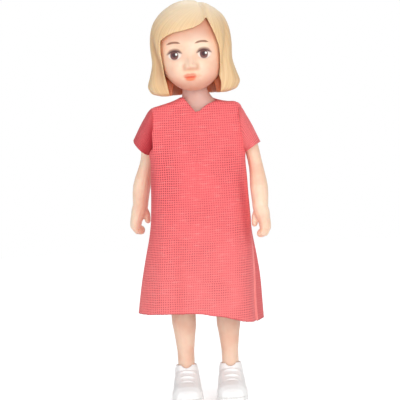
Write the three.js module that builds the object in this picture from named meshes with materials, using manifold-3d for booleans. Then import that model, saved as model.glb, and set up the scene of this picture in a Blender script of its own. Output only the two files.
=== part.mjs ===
// A miniature doll for a dolls' house: a vinyl figure with turning head, arms and legs,
// a moulded bob, a woven V-neck dress that opens behind, and moulded lace-up shoes.
// Millimetres, +Z up. The doll stands on Z = 0 and faces -Y, and its own left side is +X.

import * as THREE from 'three';
import { mergeVertices } from 'three/addons/utils/BufferGeometryUtils.js';
import Module from 'manifold-3d';

const wasm = await Module();
wasm.setup();

// Clearances and walls
const gap = 0.3; // between separate pieces
const clothThickness = 0.4;

// Body: lengths that add up to the heights above the soles, and sizes of the hidden torso
const ankleHeight = 9.4;
const shinLength = 20.6; // from the ankle to the knee
const thighLength = 21.5; // from the knee to the hip pegs
const trunkLength = 25.1; // from the hip pegs to the shoulder pegs
const neckLength = 11; // from the shoulder pegs to the neck's top
const neckInHead = 0.9; // the chin hangs this far below the neck's top
const legSpacing = 12.4; // between the middles of the legs
const shoulderFaceWidth = 18.6; // between the flat faces that the arms turn against
const pelvisWidth = 5.2; // between the flat faces that the legs turn against
const neckRadius = 3.45;

// Pegs that the limbs and the head turn on
const pegRadius = 1.2;
const pegHeadRadius = 1.9;
const pegHeadThickness = 0.9;
const limbPegDepth = 3.4;

// Arm: lengths down from the shoulder, and radii
const armBallRadius = 3.4;
const armBallWidth = 2; // from the flat face to the middle of the ball
const upperArmOut = 3.3; // the arm stands out from the ball by this much at the elbow
const forearmOut = 5.3;
const handOut = 6.6;
const elbowDrop = 10.6;
const wristDrop = 24.2;
const handLength = 7.8;
const elbowBend = 2.4;
const upperArmRadius = 2;
const forearmRadius = 2.5;
const wristRadius = 2.1;
const thumbRadius = 1;

// How each arm is set at rest, in degrees: swung back, elbow turned out, hand turned out.
// Its sleeve ends this far below the shoulder on the outside.
const armPose = {
  left: { side: 1, swing: -7, turn: 26, handTurn: 40, sleeveDrop: 5.1 },
  right: { side: -1, swing: 23, turn: -18, handTurn: 8, sleeveDrop: 3.2 },
};

// Leg radii
const hipDiscRadius = 5;
const thighRadius = 3.75;
const kneeRadius = 3.35;
const calfRadius = 3.6;
const ankleRadius = 2.45;
const ankleDepth = 3; // height of the leg's end inside the shoe
const ankleBehindHip = 2.6; // the leg slopes back, so that the doll stands over its soles

// Shoe
const shoeWidth = 8.8;
const shoeLength = 21.4;
const heelBehindLeg = 7.4; // from the middle of the ankle to the back of the heel
const soleThickness = 1.5;
const soleEdge = 0.25; // the sole stands out this far round the upper
const toeHeight = 5;
const collarHeight = 9.4;
const collarLip = 0.35;
const laceCount = 3;
const laceRadius = 0.42;
const laceSpacing = 1.9;

// Head, measured up from the chin
const headTilt = 1.6; // degrees, towards the doll's right
const headHeight = 23.4;
const headWidth = 18.8;
const faceDepth = 8.8; // from the neck's axis to the face
const skullDepth = 9.4; // from the neck's axis to the back of the skull
const noseLength = 2.1;
const noseHeight = 6.9;
const eyeHeight = 10.2;
const eyeSpacing = 8;
const mouthHeight = 3.9;

// Hair: how far it stands out from the head, and its ends, measured up from the chin
const hairOverTop = 1.8;
const hairOverSide = 2.4;
const hairOverFace = 1.6;
const hairOverBack = 2.8;
const hairBottom = -1.1;
const hairFlare = 1.5; // the ends turn out by this much on each side
const partingOffset = 4.6; // towards the doll's left
const partingDepth = 0.75;

// Dress
const dressLength = 60.3; // from the neck seam to the hem at the doll's right
const hemDrop = 3.2; // the hem is lower by this much at the doll's left
const hemWidth = 35.2;
const hemDepth = 25.6;
const hemShift = -1.7; // the skirt hangs towards the doll's right
const waistWidth = 27.4;
const waistDepth = 16;
const armholeOut = 2.9; // each armhole seam lies this far outside the shoulder's flat face
const chestEase = 1.1; // the cloth under the arm stands this far outside the armhole seam
const chestDepth = 12.6;
const yokeRise = 5.6; // from the shoulder pegs to the shoulder tip, outside of the cloth
const underarmDrop = 7.4; // from the shoulder pegs to the underarm
const neckBelowTop = 2.7; // from the neck's top to the neck seam
const neckHoleWidth = 10;
const neckHoleShift = 0.9; // the neckline sits towards the doll's left
const neckPointDepth = 4.7; // from the neck seam to the point of the V
const neckPointShift = 0.4;
const closureLap = 2.4; // the left back panel laps over the right
const backFlare = 1.5; // the left back panel stands out behind its side seam
const foldDepth = 0.55;

// Sleeve: how far its opening lies outside the armhole seam, and its depth
const sleeveOut = 5.5;
const sleeveInnerOut = 0.7;
const sleeveInnerDrop = 7.3; // below the shoulder pegs
const underarmOpening = { out: 2.4, drop: 4 }; // the sleeve is open below and inside this
const sleeveDepth = 10.4;

const kneeHeight = ankleHeight + shinLength;
const hipHeight = kneeHeight + thighLength;
const shoulderHeight = hipHeight + trunkLength;
const neckTopHeight = shoulderHeight + neckLength;
const yokeHeight = shoulderHeight + yokeRise;
const underarmHeight = shoulderHeight - underarmDrop;
const neckSeamHeight = neckTopHeight - neckBelowTop;
const neckPointHeight = neckSeamHeight - neckPointDepth;
const waistHeight = hipHeight + 4.5;
const hemHeight = neckSeamHeight - dressLength;
const aboveDoll = neckTopHeight + 40;
const shoulderX = shoulderFaceWidth / 2 + gap;
const armBallX = shoulderX + armBallWidth;
const hipX = pelvisWidth / 2 + gap;
const legX = legSpacing / 2;
const armholeX = shoulderFaceWidth / 2 + armholeOut;
const chestX = armholeX + chestEase;

// Colours and finishes
const vinyl = { color: 0xf3cfae, roughness: 0.45, metalness: 0 };
const bodyPlastic = { color: 0xe9c4a2, roughness: 0.5, metalness: 0 };
const pegPlastic = { color: 0xf4efe6, roughness: 0.5, metalness: 0 };
const hairPlastic = { color: 0xe8cd95, roughness: 0.4, metalness: 0 };
const wovenCotton = { color: 0xf0707a, roughness: 0.9, metalness: 0 };
const whiteVinyl = { color: 0xf6f6f6, roughness: 0.4, metalness: 0 };
const tapeNylon = { color: 0xe8606a, roughness: 0.95, metalness: 0 };

const point = (x, y, z) => new THREE.Vector3(x, y, z);
const radians = THREE.MathUtils.degToRad;
const mix = THREE.MathUtils.lerp;

// A smooth bump of height 1 at the middle that fades out at about twice the width.
const bump = (distance, width) => Math.exp(-((distance / width) ** 2));

// Value of a smooth curve through [position, value] pairs in rising order.
function along(pairs, at) {
  const last = pairs.length - 1;
  if (at <= pairs[0][0]) return pairs[0][1];
  if (at >= pairs[last][0]) return pairs[last][1];
  const slope = (k) => {
    const low = pairs[Math.max(k - 1, 0)];
    const high = pairs[Math.min(k + 1, last)];
    return (high[1] - low[1]) / (high[0] - low[0]);
  };
  const k = pairs.findIndex((pair) => pair[0] > at) - 1;
  const [x0, y0] = pairs[k];
  const [x1, y1] = pairs[k + 1];
  const span = x1 - x0;
  const t = (at - x0) / span;
  return (
    (2 * t ** 3 - 3 * t ** 2 + 1) * y0 +
    (t ** 3 - 2 * t ** 2 + t) * span * slope(k) +
    (3 * t ** 2 - 2 * t ** 3) * y1 +
    (t ** 3 - t ** 2) * span * slope(k + 1)
  );
}

const steps = (from, to, count) =>
  Array.from({ length: count + 1 }, (_, k) => mix(from, to, k / count));

// Closed skin over a stack of rings with equal numbers of points, turned to face outwards.
function loft(rings) {
  const count = rings[0].length;
  const vertices = rings.flat();
  const faces = [];
  for (let r = 0; r < rings.length - 1; r++) {
    for (let k = 0; k < count; k++) {
      const a = r * count + k;
      const b = r * count + ((k + 1) % count);
      faces.push([a, b, b + count], [a, b + count, a + count]);
    }
  }
  const middle = (ring) =>
    ring.reduce((sum, p) => sum.add(p), point(0, 0, 0)).multiplyScalar(1 / count);
  const low = vertices.length;
  vertices.push(middle(rings[0]), middle(rings[rings.length - 1]));
  const top = (rings.length - 1) * count;
  for (let k = 0; k < count; k++) {
    const next = (k + 1) % count;
    faces.push([low, next, k], [low + 1, top + k, top + next]);
  }
  const volume = faces.reduce((sum, [a, b, c]) => {
    const cross = vertices[b].clone().cross(vertices[c]);
    return sum + vertices[a].dot(cross);
  }, 0);
  if (volume < 0) faces.forEach((face) => face.reverse());
  const geometry = new THREE.BufferGeometry();
  geometry.setAttribute(
    'position',
    new THREE.Float32BufferAttribute(vertices.flatMap((p) => p.toArray()), 3),
  );
  geometry.setIndex(faces.flat());
  return geometry;
}

// Level ring: half width, reach to the front and to the back, and how square its corners are.
function levelRing(z, { x = 0, y = 0, half, front, back, power = 2, count, push = () => 0 }) {
  return Array.from({ length: count }, (_, k) => {
    const angle = (2 * Math.PI * k) / count;
    const c = Math.cos(angle);
    const s = Math.sin(angle);
    const reach = s < 0 ? front : back;
    const shape = (value) => Math.sign(value) * Math.abs(value) ** (2 / power);
    const out = 1 + push(angle, z) / Math.hypot(half * c, reach * s);
    return point(x + half * shape(c) * out, y + reach * shape(s) * out, z);
  });
}

// Round or oval tube along a smooth path, closed by domes. Radii are [across, deep] pairs
// at even shares of the path, across lying in the plane of X and Z.
function limb(path, radii, { sides = 14, stepCount = 18 } = {}) {
  const curve = new THREE.CatmullRomCurve3(path);
  const last = radii.length - 1;
  const pick = (index) => (share) =>
    along(radii.map((pair, k) => [k / last, pair[index]]), share);
  const across = pick(0);
  const deep = pick(1);
  const domeSteps = [80, 50, 22].map(radians);
  const stations = [
    ...domeSteps.map((a) => ({ t: 0, scale: Math.cos(a), shift: -Math.sin(a) })),
    ...steps(0, 1, stepCount).map((t) => ({ t, scale: 1, shift: 0 })),
    ...domeSteps.reverse().map((a) => ({ t: 1, scale: Math.cos(a), shift: Math.sin(a) })),
  ];
  return loft(
    stations.map(({ t, scale, shift }) => {
      const tangent = curve.getTangentAt(t);
      const side = tangent.clone().cross(point(0, 1, 0)).normalize();
      const depth = side.clone().cross(tangent);
      const a = across(t) * scale;
      const b = deep(t) * scale;
      const centre = curve.getPointAt(t).addScaledVector(tangent, shift * across(t));
      return Array.from({ length: sides }, (_, k) => {
        const angle = (2 * Math.PI * k) / sides;
        return centre
          .clone()
          .addScaledVector(side, a * Math.cos(angle))
          .addScaledVector(depth, b * Math.sin(angle));
      });
    }),
  );
}

function solidOf(geometry) {
  const bare = geometry.clone();
  bare.deleteAttribute('normal');
  bare.deleteAttribute('uv');
  const merged = mergeVertices(bare, 1e-4);
  return new wasm.Manifold(
    new wasm.Mesh({
      numProp: 3,
      vertProperties: new Float32Array(merged.attributes.position.array),
      triVerts: new Uint32Array(merged.index.array),
    }),
  );
}

function geometryOf(solid) {
  const mesh = solid.getMesh();
  const geometry = new THREE.BufferGeometry();
  geometry.setAttribute('position', new THREE.BufferAttribute(mesh.vertProperties, 3));
  geometry.setIndex(new THREE.BufferAttribute(mesh.triVerts, 1));
  return geometry.toNonIndexed();
}

function piece(name, shape, finish) {
  const geometry = shape.isBufferGeometry ? shape : geometryOf(shape);
  geometry.computeVertexNormals();
  const mesh = new THREE.Mesh(geometry, new THREE.MeshStandardMaterial(finish));
  mesh.name = name;
  return mesh;
}

// Turned solid about an axis through a place; profile pairs are [along the axis, radius].
function turned(profile, axis, place, segments = 20) {
  const outline = profile.map(([at, radius]) => new THREE.Vector2(radius, at));
  const geometry = new THREE.LatheGeometry(outline, segments);
  const turn = new THREE.Quaternion().setFromUnitVectors(point(0, 1, 0), axis);
  geometry.applyQuaternion(turn).translate(place.x, place.y, place.z);
  const solid = solidOf(geometry);
  if (solid.volume() > 0) return solid;
  const outlineBack = outline.reverse();
  const flipped = new THREE.LatheGeometry(outlineBack, segments);
  flipped.applyQuaternion(turn).translate(place.x, place.y, place.z);
  return solidOf(flipped);
}

const rod = (from, to, radius, axis, place, segments) =>
  turned([[from, 0], [from, radius], [to, radius], [to, 0]], axis, place, segments);

function block([x0, y0, z0], [x1, y1, z1]) {
  const box = new THREE.BoxGeometry(x1 - x0, y1 - y0, z1 - z0);
  return solidOf(box.translate((x0 + x1) / 2, (y0 + y1) / 2, (z0 + z1) / 2));
}

// Pegs: a stem with a flat head that stays in the body and a plain end in the limb.
function pegSolid(axis, place, headAt, end) {
  const head = headAt + pegHeadThickness;
  const profile = [
    [headAt, 0],
    [headAt, pegHeadRadius],
    [head, pegHeadRadius],
    [head, pegRadius],
    [end - 0.3, pegRadius],
    [end, pegRadius - 0.3],
    [end, 0],
  ];
  return turned(profile, axis, place, 16);
}

// Room round a peg's head and stem, open where the limb's face lies.
function pegRoom(axis, place, headAt, end) {
  const chamber = [headAt - gap, headAt + pegHeadThickness + gap];
  return rod(...chamber, pegHeadRadius + gap, axis, place, 16).add(
    rod(headAt, end, pegRadius + gap, axis, place, 16),
  );
}

const sideAxis = (side) => point(side, 0, 0);

// Torso: one moulding split down the sides into a front and a back half.
const torsoHalf = shoulderFaceWidth / 2;
const hipHalf = legX + 3;
const trunk = (share) => mix(hipHeight, shoulderHeight, share);
const torsoWidths = [
  [hipHeight - 5.5, 2.4],
  [hipHeight - 2.5, 5.4],
  [trunk(0.06), hipHalf],
  [trunk(0.26), hipHalf],
  [trunk(0.54), hipHalf - 1.4],
  [trunk(0.78), torsoHalf - 0.7],
  [trunk(0.98), torsoHalf + 0.5],
  [yokeHeight - 2.7, torsoHalf],
  [yokeHeight, 7.3],
  [yokeHeight + 1.2, 5.3],
  [neckTopHeight - 3.5, neckRadius + 1.25],
  [neckTopHeight - 2.8, neckRadius + 0.75],
  [neckTopHeight - 1.4, neckRadius + 0.2],
  [neckTopHeight, neckRadius],
];
const torsoFront = [
  [hipHeight - 5.5, 2],
  [hipHeight - 1.5, 4.4],
  [trunk(0.26), 5.2],
  [trunk(0.54), 4.7],
  [trunk(0.86), 5.8],
  [yokeHeight - 3.2, 4.5],
  [yokeHeight, neckRadius],
];
const torsoBack = [
  [hipHeight - 5.5, 2.2],
  [hipHeight - 0.5, 5.2],
  [trunk(0.18), 5.6],
  [trunk(0.54), 4],
  [trunk(0.98), 4.4],
  [yokeHeight, neckRadius],
];
// The neck's foot leans towards the doll's left, where the neckline is wider.
const torsoShift = [
  [yokeHeight, 0],
  [yokeHeight + 1.2, 0.65],
  [neckTopHeight - 2.8, 0.6],
  [neckTopHeight - 0.6, 0],
];
const torsoLevels = [
  hipHeight - 5.5,
  hipHeight - 3.5,
  hipHeight - 1,
  ...[0.06, 0.26, 0.4, 0.54, 0.7, 0.86, 0.98].map(trunk),
  ...[3.2, 1.2, 0].map((drop) => yokeHeight - drop),
  ...[0.3, 0.6].map((share) => mix(yokeHeight, neckTopHeight - 2.8, share)),
  neckTopHeight - 2.8,
  neckTopHeight - 1.4,
  neckTopHeight,
];
let torso = solidOf(
  loft(
    torsoLevels.map((z) =>
      levelRing(z, {
        x: along(torsoShift, z),
        half: along(torsoWidths, z),
        front: along(torsoFront, z),
        back: along(torsoBack, z),
        power: z > yokeHeight + 1.8 ? 2 : 2.3,
        count: 24,
      }),
    ),
  ),
);

const shoulderPlace = (side) => point(side * torsoHalf, 0, shoulderHeight);
const hipPlace = (side) => point((side * pelvisWidth) / 2, 0, hipHeight);
const shoulderPegHead = -3.2; // inwards from the shoulder's flat face
const hipPegHead = 0.5 - pelvisWidth / 2;
const sides = { left: 1, right: -1 };

for (const side of Object.values(sides)) {
  const axis = sideAxis(side);
  const beyondShoulder = rod(0, 6, 9, axis, shoulderPlace(side), 24);
  const legRoom = rod(0, 12, hipDiscRadius + gap, axis, hipPlace(side), 28);
  torso = torso
    .subtract(beyondShoulder)
    .subtract(legRoom)
    .subtract(pegRoom(axis, shoulderPlace(side), shoulderPegHead, 1))
    .subtract(pegRoom(axis, hipPlace(side), hipPegHead, 1));
}

// Neck: the head's axis leans with the head.
const headAxis = point(-Math.sin(radians(headTilt)), 0, Math.cos(radians(headTilt)));
const neckPlace = point(0, 0, neckTopHeight);
const neckPegHead = -4; // flat head held between the torso halves
const neckKnob = 3.2; // knob inside the head, above the neck
torso = torso.subtract(pegRoom(headAxis, neckPlace, neckPegHead, 1));

const reach = 60;
const torsoFrontHalf = torso.subtract(block([-reach, -gap / 2, 0], [reach, reach, aboveDoll]));
const torsoBackHalf = torso.subtract(block([-reach, -reach, 0], [reach, gap / 2, aboveDoll]));

const neckPeg = turned(
  [
    [neckPegHead, 0],
    [neckPegHead, pegHeadRadius],
    [neckPegHead + pegHeadThickness, pegHeadRadius],
    [neckPegHead + pegHeadThickness, pegRadius],
    [neckKnob - 0.9, pegRadius],
    [neckKnob, pegHeadRadius],
    [neckKnob + 0.8, pegHeadRadius],
    [neckKnob + 1.7, pegRadius],
    [neckKnob + 1.7, 0],
  ],
  headAxis,
  neckPlace,
  16,
);

// Head, in its own frame: Z = 0 at the chin, on the neck's axis.
const headHalf = headWidth / 2;
const brow = (share) => mix(eyeHeight, headHeight, share);
const jaw = (share) => eyeHeight * share;
const jawWidths = [
  [jaw(0), 1.6],
  [jaw(0.05), 3],
  [jaw(0.12), headHalf - 5],
  [jaw(0.235), headHalf - 3.5],
  [jaw(0.43), headHalf - 1.9],
  [jaw(0.69), headHalf - 0.7],
  [brow(0), headHalf - 0.1],
  [brow(0.25), headHalf],
  [brow(0.55), headHalf - 0.9],
  [brow(0.78), headHalf - 3],
  [brow(0.92), headHalf - 5.6],
  [brow(1), 1.2],
];
const faceReach = [
  [jaw(0), faceDepth - 1.9],
  [jaw(0.12), faceDepth - 0.9],
  [jaw(0.43), faceDepth - 0.2],
  [brow(0), faceDepth],
  [brow(0.29), faceDepth + 0.3],
  [brow(0.55), faceDepth - 0.4],
  [brow(0.78), faceDepth - 2.6],
  [brow(0.92), faceDepth - 5.2],
  [brow(1), 1.2],
];
const skullReach = [
  [jaw(0), -5.2],
  [jaw(0.06), -3],
  [jaw(0.12), skullDepth - 7],
  [jaw(0.235), skullDepth - 4.6],
  [jaw(0.43), skullDepth - 2.6],
  [jaw(0.69), skullDepth - 1],
  [brow(0), skullDepth - 0.2],
  [brow(0.29), skullDepth],
  [brow(0.55), skullDepth - 0.7],
  [brow(0.78), skullDepth - 2.9],
  [brow(0.92), skullDepth - 5.4],
  [brow(1), 1.2],
];

// How far the face stands out or in: nose, lips, chin, cheeks and eye hollows.
function faceRelief(x, z) {
  const above = z > noseHeight;
  const nose =
    noseLength *
    bump(z - noseHeight, above ? 2.3 : 0.95) *
    bump(x, above ? 0.95 + 0.15 * (z - noseHeight) : 1.15);
  const wings = 0.5 * bump(z - noseHeight + 0.5, 0.8) * bump(Math.abs(x) - 1.35, 0.7);
  const upperLip = 0.5 * bump(z - mouthHeight - 0.5, 0.5) * bump(x, 1.7);
  const lowerLip = 0.55 * bump(z - mouthHeight + 0.6, 0.5) * bump(x, 1.5);
  const chin = 0.6 * bump(z - 1.3, 1.1) * bump(x, 2.1);
  const cheeks = 0.45 * bump(z - 5.6, 2.4) * bump(Math.abs(x) - 4.6, 2.2);
  const hollows = -0.45 * bump(z - eyeHeight, 1.7) * bump(Math.abs(x) - eyeSpacing / 2, 1.9);
  return nose + wings + upperLip + lowerLip + chin + cheeks + hollows;
}

// Head skin, grown outwards by a clearance; relief is left out where nothing shows.
function headShape(grow, relief, count) {
  const jawShares = [0, 0.04, 0.1, 0.18, 0.255, 0.32, 0.38, 0.44, 0.51, 0.57, 0.62, 0.68, 0.75, 0.84];
  const levels = [
    ...jawShares.map(jaw),
    ...[0, 0.12, 0.29, 0.52, 0.705, 0.85, 0.94, 1].map(brow),
  ];
  const rings = levels.map((z) => {
    const half = along(jawWidths, z) + grow;
    const front = along(faceReach, z) + grow;
    const back = along(skullReach, z) + grow;
    const middle = (back - front) / 2;
    const deep = (front + back) / 2;
    return Array.from({ length: count }, (_, k) => {
      const share = (2 * k) / count - 1; // 0 at the face, -1 and 1 behind
      const angle = Math.PI * (0.55 * share + 0.45 * share ** 3);
      const flat = Math.sign(Math.sin(angle)) * Math.abs(Math.sin(angle)) ** 0.92;
      const x = half * flat;
      const toFront = Math.cos(angle);
      const y = middle - deep * Math.sign(toFront) * Math.abs(toFront) ** 0.92;
      const out = toFront > 0 && relief ? faceRelief(x, z) * toFront : 0;
      const atTop = z === levels[levels.length - 1];
      return point(x, y - out, z + (atTop ? grow : 0) - (z === 0 ? grow : 0));
    });
  });
  return solidOf(loft(rings));
}

const headPlaceAxis = point(0, 0, 1);
const socketPlace = point(0, 0, neckInHead);
const head = headShape(0, true, 40)
  .subtract(rod(-3, gap, neckRadius + gap, headPlaceAxis, socketPlace, 24))
  .subtract(rod(-1, neckKnob, pegRadius + gap, headPlaceAxis, socketPlace, 16))
  .subtract(
    rod(neckKnob - 1.2, neckKnob + 1.7 + gap, pegHeadRadius + gap, headPlaceAxis, socketPlace, 16),
  );

// Hair: a bob with turned-out ends, hollowed for the head, the face and the neck.
const hairTop = headHeight + hairOverTop;
const hairHalf = headHalf + hairOverSide;
const hairFront = faceDepth + hairOverFace;
const hairBack = skullDepth + hairOverBack;
const crown = (share) => hairTop * share;
const bobWidths = [
  [hairBottom, hairHalf - 2.6],
  [hairBottom + 0.8, hairHalf - 0.2],
  [crown(0.03), hairHalf + hairFlare * 0.5],
  [crown(0.08), hairHalf + hairFlare * 0.7],
  [crown(0.18), hairHalf + 0.3],
  [crown(0.32), hairHalf - 0.55],
  [crown(0.5), hairHalf - 0.4],
  [crown(0.655), hairHalf - 0.75],
  [crown(0.775), hairHalf - 1.8],
  [crown(0.873), hairHalf - 3.9],
  [crown(0.944), hairHalf - 6.5],
  [crown(0.984), hairHalf - 9],
  [hairTop, 0.8],
];
const bobFront = [
  [hairBottom, hairFront - 5.6],
  [crown(0.08), hairFront - 4.6],
  [crown(0.32), hairFront - 2.4],
  [crown(0.515), hairFront - 0.4],
  [crown(0.675), hairFront],
  [crown(0.775), hairFront - 1],
  [crown(0.873), hairFront - 3],
  [crown(0.944), hairFront - 5.2],
  [crown(0.984), hairFront - 7.6],
  [hairTop, 0.8],
];
const bobBack = [
  [hairBottom, hairBack - 2.2],
  [hairBottom + 0.9, hairBack - 0.8],
  [crown(0.08), hairBack - 0.4],
  [crown(0.32), hairBack - 0.3],
  [crown(0.515), hairBack],
  [crown(0.675), hairBack - 0.8],
  [crown(0.79), hairBack - 2.4],
  [crown(0.873), hairBack - 4.2],
  [crown(0.944), hairBack - 6.9],
  [crown(0.984), hairBack - 9.3],
  [hairTop, 0.8],
];

// Locks: shallow waves round the bob that deepen towards the ends.
function lockWave(angle, z) {
  const towardsEnds = THREE.MathUtils.clamp(1 - z / crown(0.63), 0.15, 1);
  return 0.3 * towardsEnds * (Math.cos(9 * angle + 0.6) + 0.5 * Math.cos(14 * angle));
}

const hairLevels = [
  hairBottom,
  hairBottom + 0.5,
  hairBottom + 1.2,
  ...[0.05, 0.11, 0.19, 0.285, 0.4, 0.515, 0.62, 0.705, 0.78, 0.84, 0.895, 0.935, 0.97, 0.988, 1].map(
    crown,
  ),
];
const bobRings = hairLevels.map((z) =>
  levelRing(z, {
    half: along(bobWidths, z),
    front: along(bobFront, z),
    back: along(bobBack, z),
    power: 2.1,
    count: 40,
    push: lockWave,
  }).map((p) => {
    const groove = partingDepth * bump(p.x - partingOffset, 1) * (p.z > crown(0.675) ? 1 : 0);
    const inwards = point(p.x, p.y, p.z - crown(0.48)).normalize();
    return p.clone().addScaledVector(inwards, -groove);
  }),
);

// Outline of the face opening, seen from the front: hairline, fringe and parting, in shares
// of the head's half width and height.
const hairline = [
  [-0.6, -0.13],
  [-0.73, 0.09],
  [-0.86, 0.26],
  [-0.89, 0.47],
  [-0.88, 0.62],
  [-0.49, 0.69],
  [-0.17, 0.714],
  [0.16, 0.745],
  [0.38, 0.795],
  [partingOffset / headHalf + 0.02, 0.855],
  [0.64, 0.745],
  [0.745, 0.63],
  [0.83, 0.47],
  [0.81, 0.26],
  [0.72, 0.1],
  [0.6, -0.13],
].map(([across, up]) => [across * headHalf, up * headHeight]);
const faceOpening = new THREE.Shape();
faceOpening.moveTo(...hairline[0]);
hairline.slice(1).forEach(([x, z]) => faceOpening.lineTo(x, z));
faceOpening.closePath();
const faceCutter = new THREE.ExtrudeGeometry(faceOpening, {
  depth: 2 * hairFront,
  bevelEnabled: false,
});
faceCutter.rotateX(Math.PI / 2);

const hairNeckRadius = neckRadius + 2.35;
const hairNeckTop = 5; // above the chin
const hair = solidOf(loft(bobRings))
  .subtract(headShape(gap, false, 28))
  .subtract(solidOf(faceCutter))
  .subtract(rod(-8, hairNeckTop, hairNeckRadius, headPlaceAxis, point(0, 0.4, 0), 24))
  .subtract(block([-hairNeckRadius, -hairFront, -8], [hairNeckRadius, 0.4, hairNeckTop]));

const headGroup = new THREE.Group();
headGroup.position.copy(neckPlace).addScaledVector(headAxis, -neckInHead);
headGroup.rotation.y = -radians(headTilt);
headGroup.add(piece('head', head, vinyl), piece('hair', hair, hairPlastic));

// Place on a hanging arm. Out leads away from the body, down along the arm; curl and back
// lie across and behind it, turned about its length.
function armPlace(out, curl, back, down, turn) {
  const angle = radians(turn);
  const across = curl * Math.cos(angle) + back * Math.sin(angle);
  const behind = back * Math.cos(angle) - curl * Math.sin(angle);
  return point(out + across, behind, -down);
}

const swung = (swing) =>
  new THREE.Matrix4().makeRotationX(radians(swing)).setPosition(armBallX, 0, shoulderHeight);

// Upper arm and forearm, or the room that they take up when grown by a clearance.
function armShaft({ swing, turn }, grow = 0) {
  const forearmDrop = mix(elbowDrop, wristDrop, 0.55);
  const path = [
    armPlace(0, 0, 0, 0.5, turn),
    armPlace(upperArmOut * 0.68, 0, elbowBend * 0.5, elbowDrop * 0.42, turn),
    armPlace(upperArmOut, 0, elbowBend, elbowDrop, turn),
    armPlace(mix(upperArmOut, forearmOut, 0.75), 0, elbowBend * 0.25, forearmDrop, turn),
    armPlace(forearmOut, 0, -0.3, wristDrop, turn),
  ];
  const radii = [
    [2.9, 2.9],
    [2.1, 2.3],
    [upperArmRadius, upperArmRadius],
    [forearmRadius, forearmRadius],
    [wristRadius, wristRadius],
  ].map((pair) => pair.map((radius) => radius + grow));
  const geometry = limb(path, radii, { sides: 14, stepCount: 12 });
  return solidOf(geometry.applyMatrix4(swung(swing)));
}

// Arm: a ball end against the shoulder, the bent shaft, and a hand that can grip.
function armSolid({ side, swing, turn, handTurn }) {
  const inHand = (curl, back, down) => {
    const out = mix(forearmOut, handOut, down / handLength);
    return armPlace(out, curl, back - 0.3, wristDrop + down, handTurn);
  };
  const fingers = [
    inHand(0, 0.1, -1.2),
    inHand(0.6, -0.3, handLength * 0.25),
    inHand(1, -0.7, handLength * 0.52),
    inHand(0.75, -1, handLength * 0.77),
    inHand(-0.6, -1.1, handLength * 0.85),
  ];
  const fingerRadii = [
    [wristRadius, wristRadius - 0.1],
    [2.2, 2.2],
    [1.8, 2.3],
    [1.6, 2.1],
    [1.25, 1.7],
  ];
  const thumb = [
    inHand(-0.6, -0.3, 0.3),
    inHand(-1.8, -0.8, 1.9),
    inHand(-2.3, -1.1, 3.9),
  ];
  const thumbRadii = [
    [thumbRadius + 0.3, thumbRadius + 0.4],
    [thumbRadius, thumbRadius],
    [thumbRadius - 0.15, thumbRadius - 0.1],
  ];
  const hand = [
    limb(fingers, fingerRadii, { sides: 12, stepCount: 9 }),
    limb(thumb, thumbRadii, { sides: 8, stepCount: 4 }),
  ].map((geometry) => solidOf(geometry.applyMatrix4(swung(swing))));
  const axis = point(1, 0, 0);
  const face = point(shoulderX, 0, shoulderHeight);
  const ball = turned(
    [
      [0, 0],
      [0, armBallRadius - 0.3],
      [0.4, armBallRadius],
      [armBallWidth, armBallRadius],
      [armBallWidth + 1.2, armBallRadius * 0.9],
      [armBallWidth + 2.2, armBallRadius * 0.7],
      [armBallWidth + 2.9, armBallRadius * 0.4],
      [armBallWidth + 3.2, 0],
    ],
    axis,
    face,
    20,
  );
  const arm = hand
    .reduce((sum, part) => sum.add(part), ball.add(armShaft({ swing, turn })))
    .subtract(block([-reach, -reach, 0], [shoulderX, reach, aboveDoll]))
    .subtract(rod(-1, limbPegDepth + gap, pegRadius + gap, axis, face, 16));
  return side > 0 ? arm : arm.mirror([1, 0, 0]);
}

// Leg: a disc that turns against the pelvis, and a shaft that runs down into the shoe.
function legSolid(side) {
  const end = ankleDepth + ankleRadius;
  const shaft = [
    point(legX + 0.35, 0, hipHeight - 2),
    point(legX + 0.3, ankleBehindHip * 0.1, mix(hipHeight, kneeHeight, 0.5)),
    point(legX, ankleBehindHip * 0.3, kneeHeight),
    point(legX, ankleBehindHip * 0.85, mix(kneeHeight, ankleHeight, 0.45)),
    point(legX, ankleBehindHip, ankleHeight + 1),
    point(legX, ankleBehindHip, end),
  ];
  const radii = [
    [thighRadius, thighRadius + 0.3],
    [thighRadius, thighRadius + 0.2],
    [kneeRadius, kneeRadius],
    [calfRadius, calfRadius],
    [ankleRadius, ankleRadius],
    [ankleRadius - 0.1, ankleRadius],
  ];
  const axis = point(1, 0, 0);
  const disc = turned(
    [
      [0, 0],
      [0, hipDiscRadius - 0.3],
      [0.4, hipDiscRadius],
      [4.6, hipDiscRadius],
      [6.2, hipDiscRadius * 0.86],
      [7.2, hipDiscRadius * 0.55],
      [7.5, 0],
    ],
    axis,
    point(hipX, 0, hipHeight),
    24,
  );
  const room = rod(-1, limbPegDepth + gap, pegRadius + gap, axis, point(hipX, 0, hipHeight), 16);
  const leg = disc
    .add(solidOf(limb(shaft, radii, { sides: 16, stepCount: 11 })))
    .subtract(block([-reach, -reach, 0], [hipX, reach, aboveDoll]))
    .subtract(room);
  return side > 0 ? leg : leg.mirror([1, 0, 0]);
}

// Shoe: sole, domed upper with a toe cap, padded collar and tied laces, in one moulding.
const heelY = ankleBehindHip + heelBehindLeg;
const toeY = heelY - shoeLength;
const shoeHalf = shoeWidth / 2;

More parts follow.
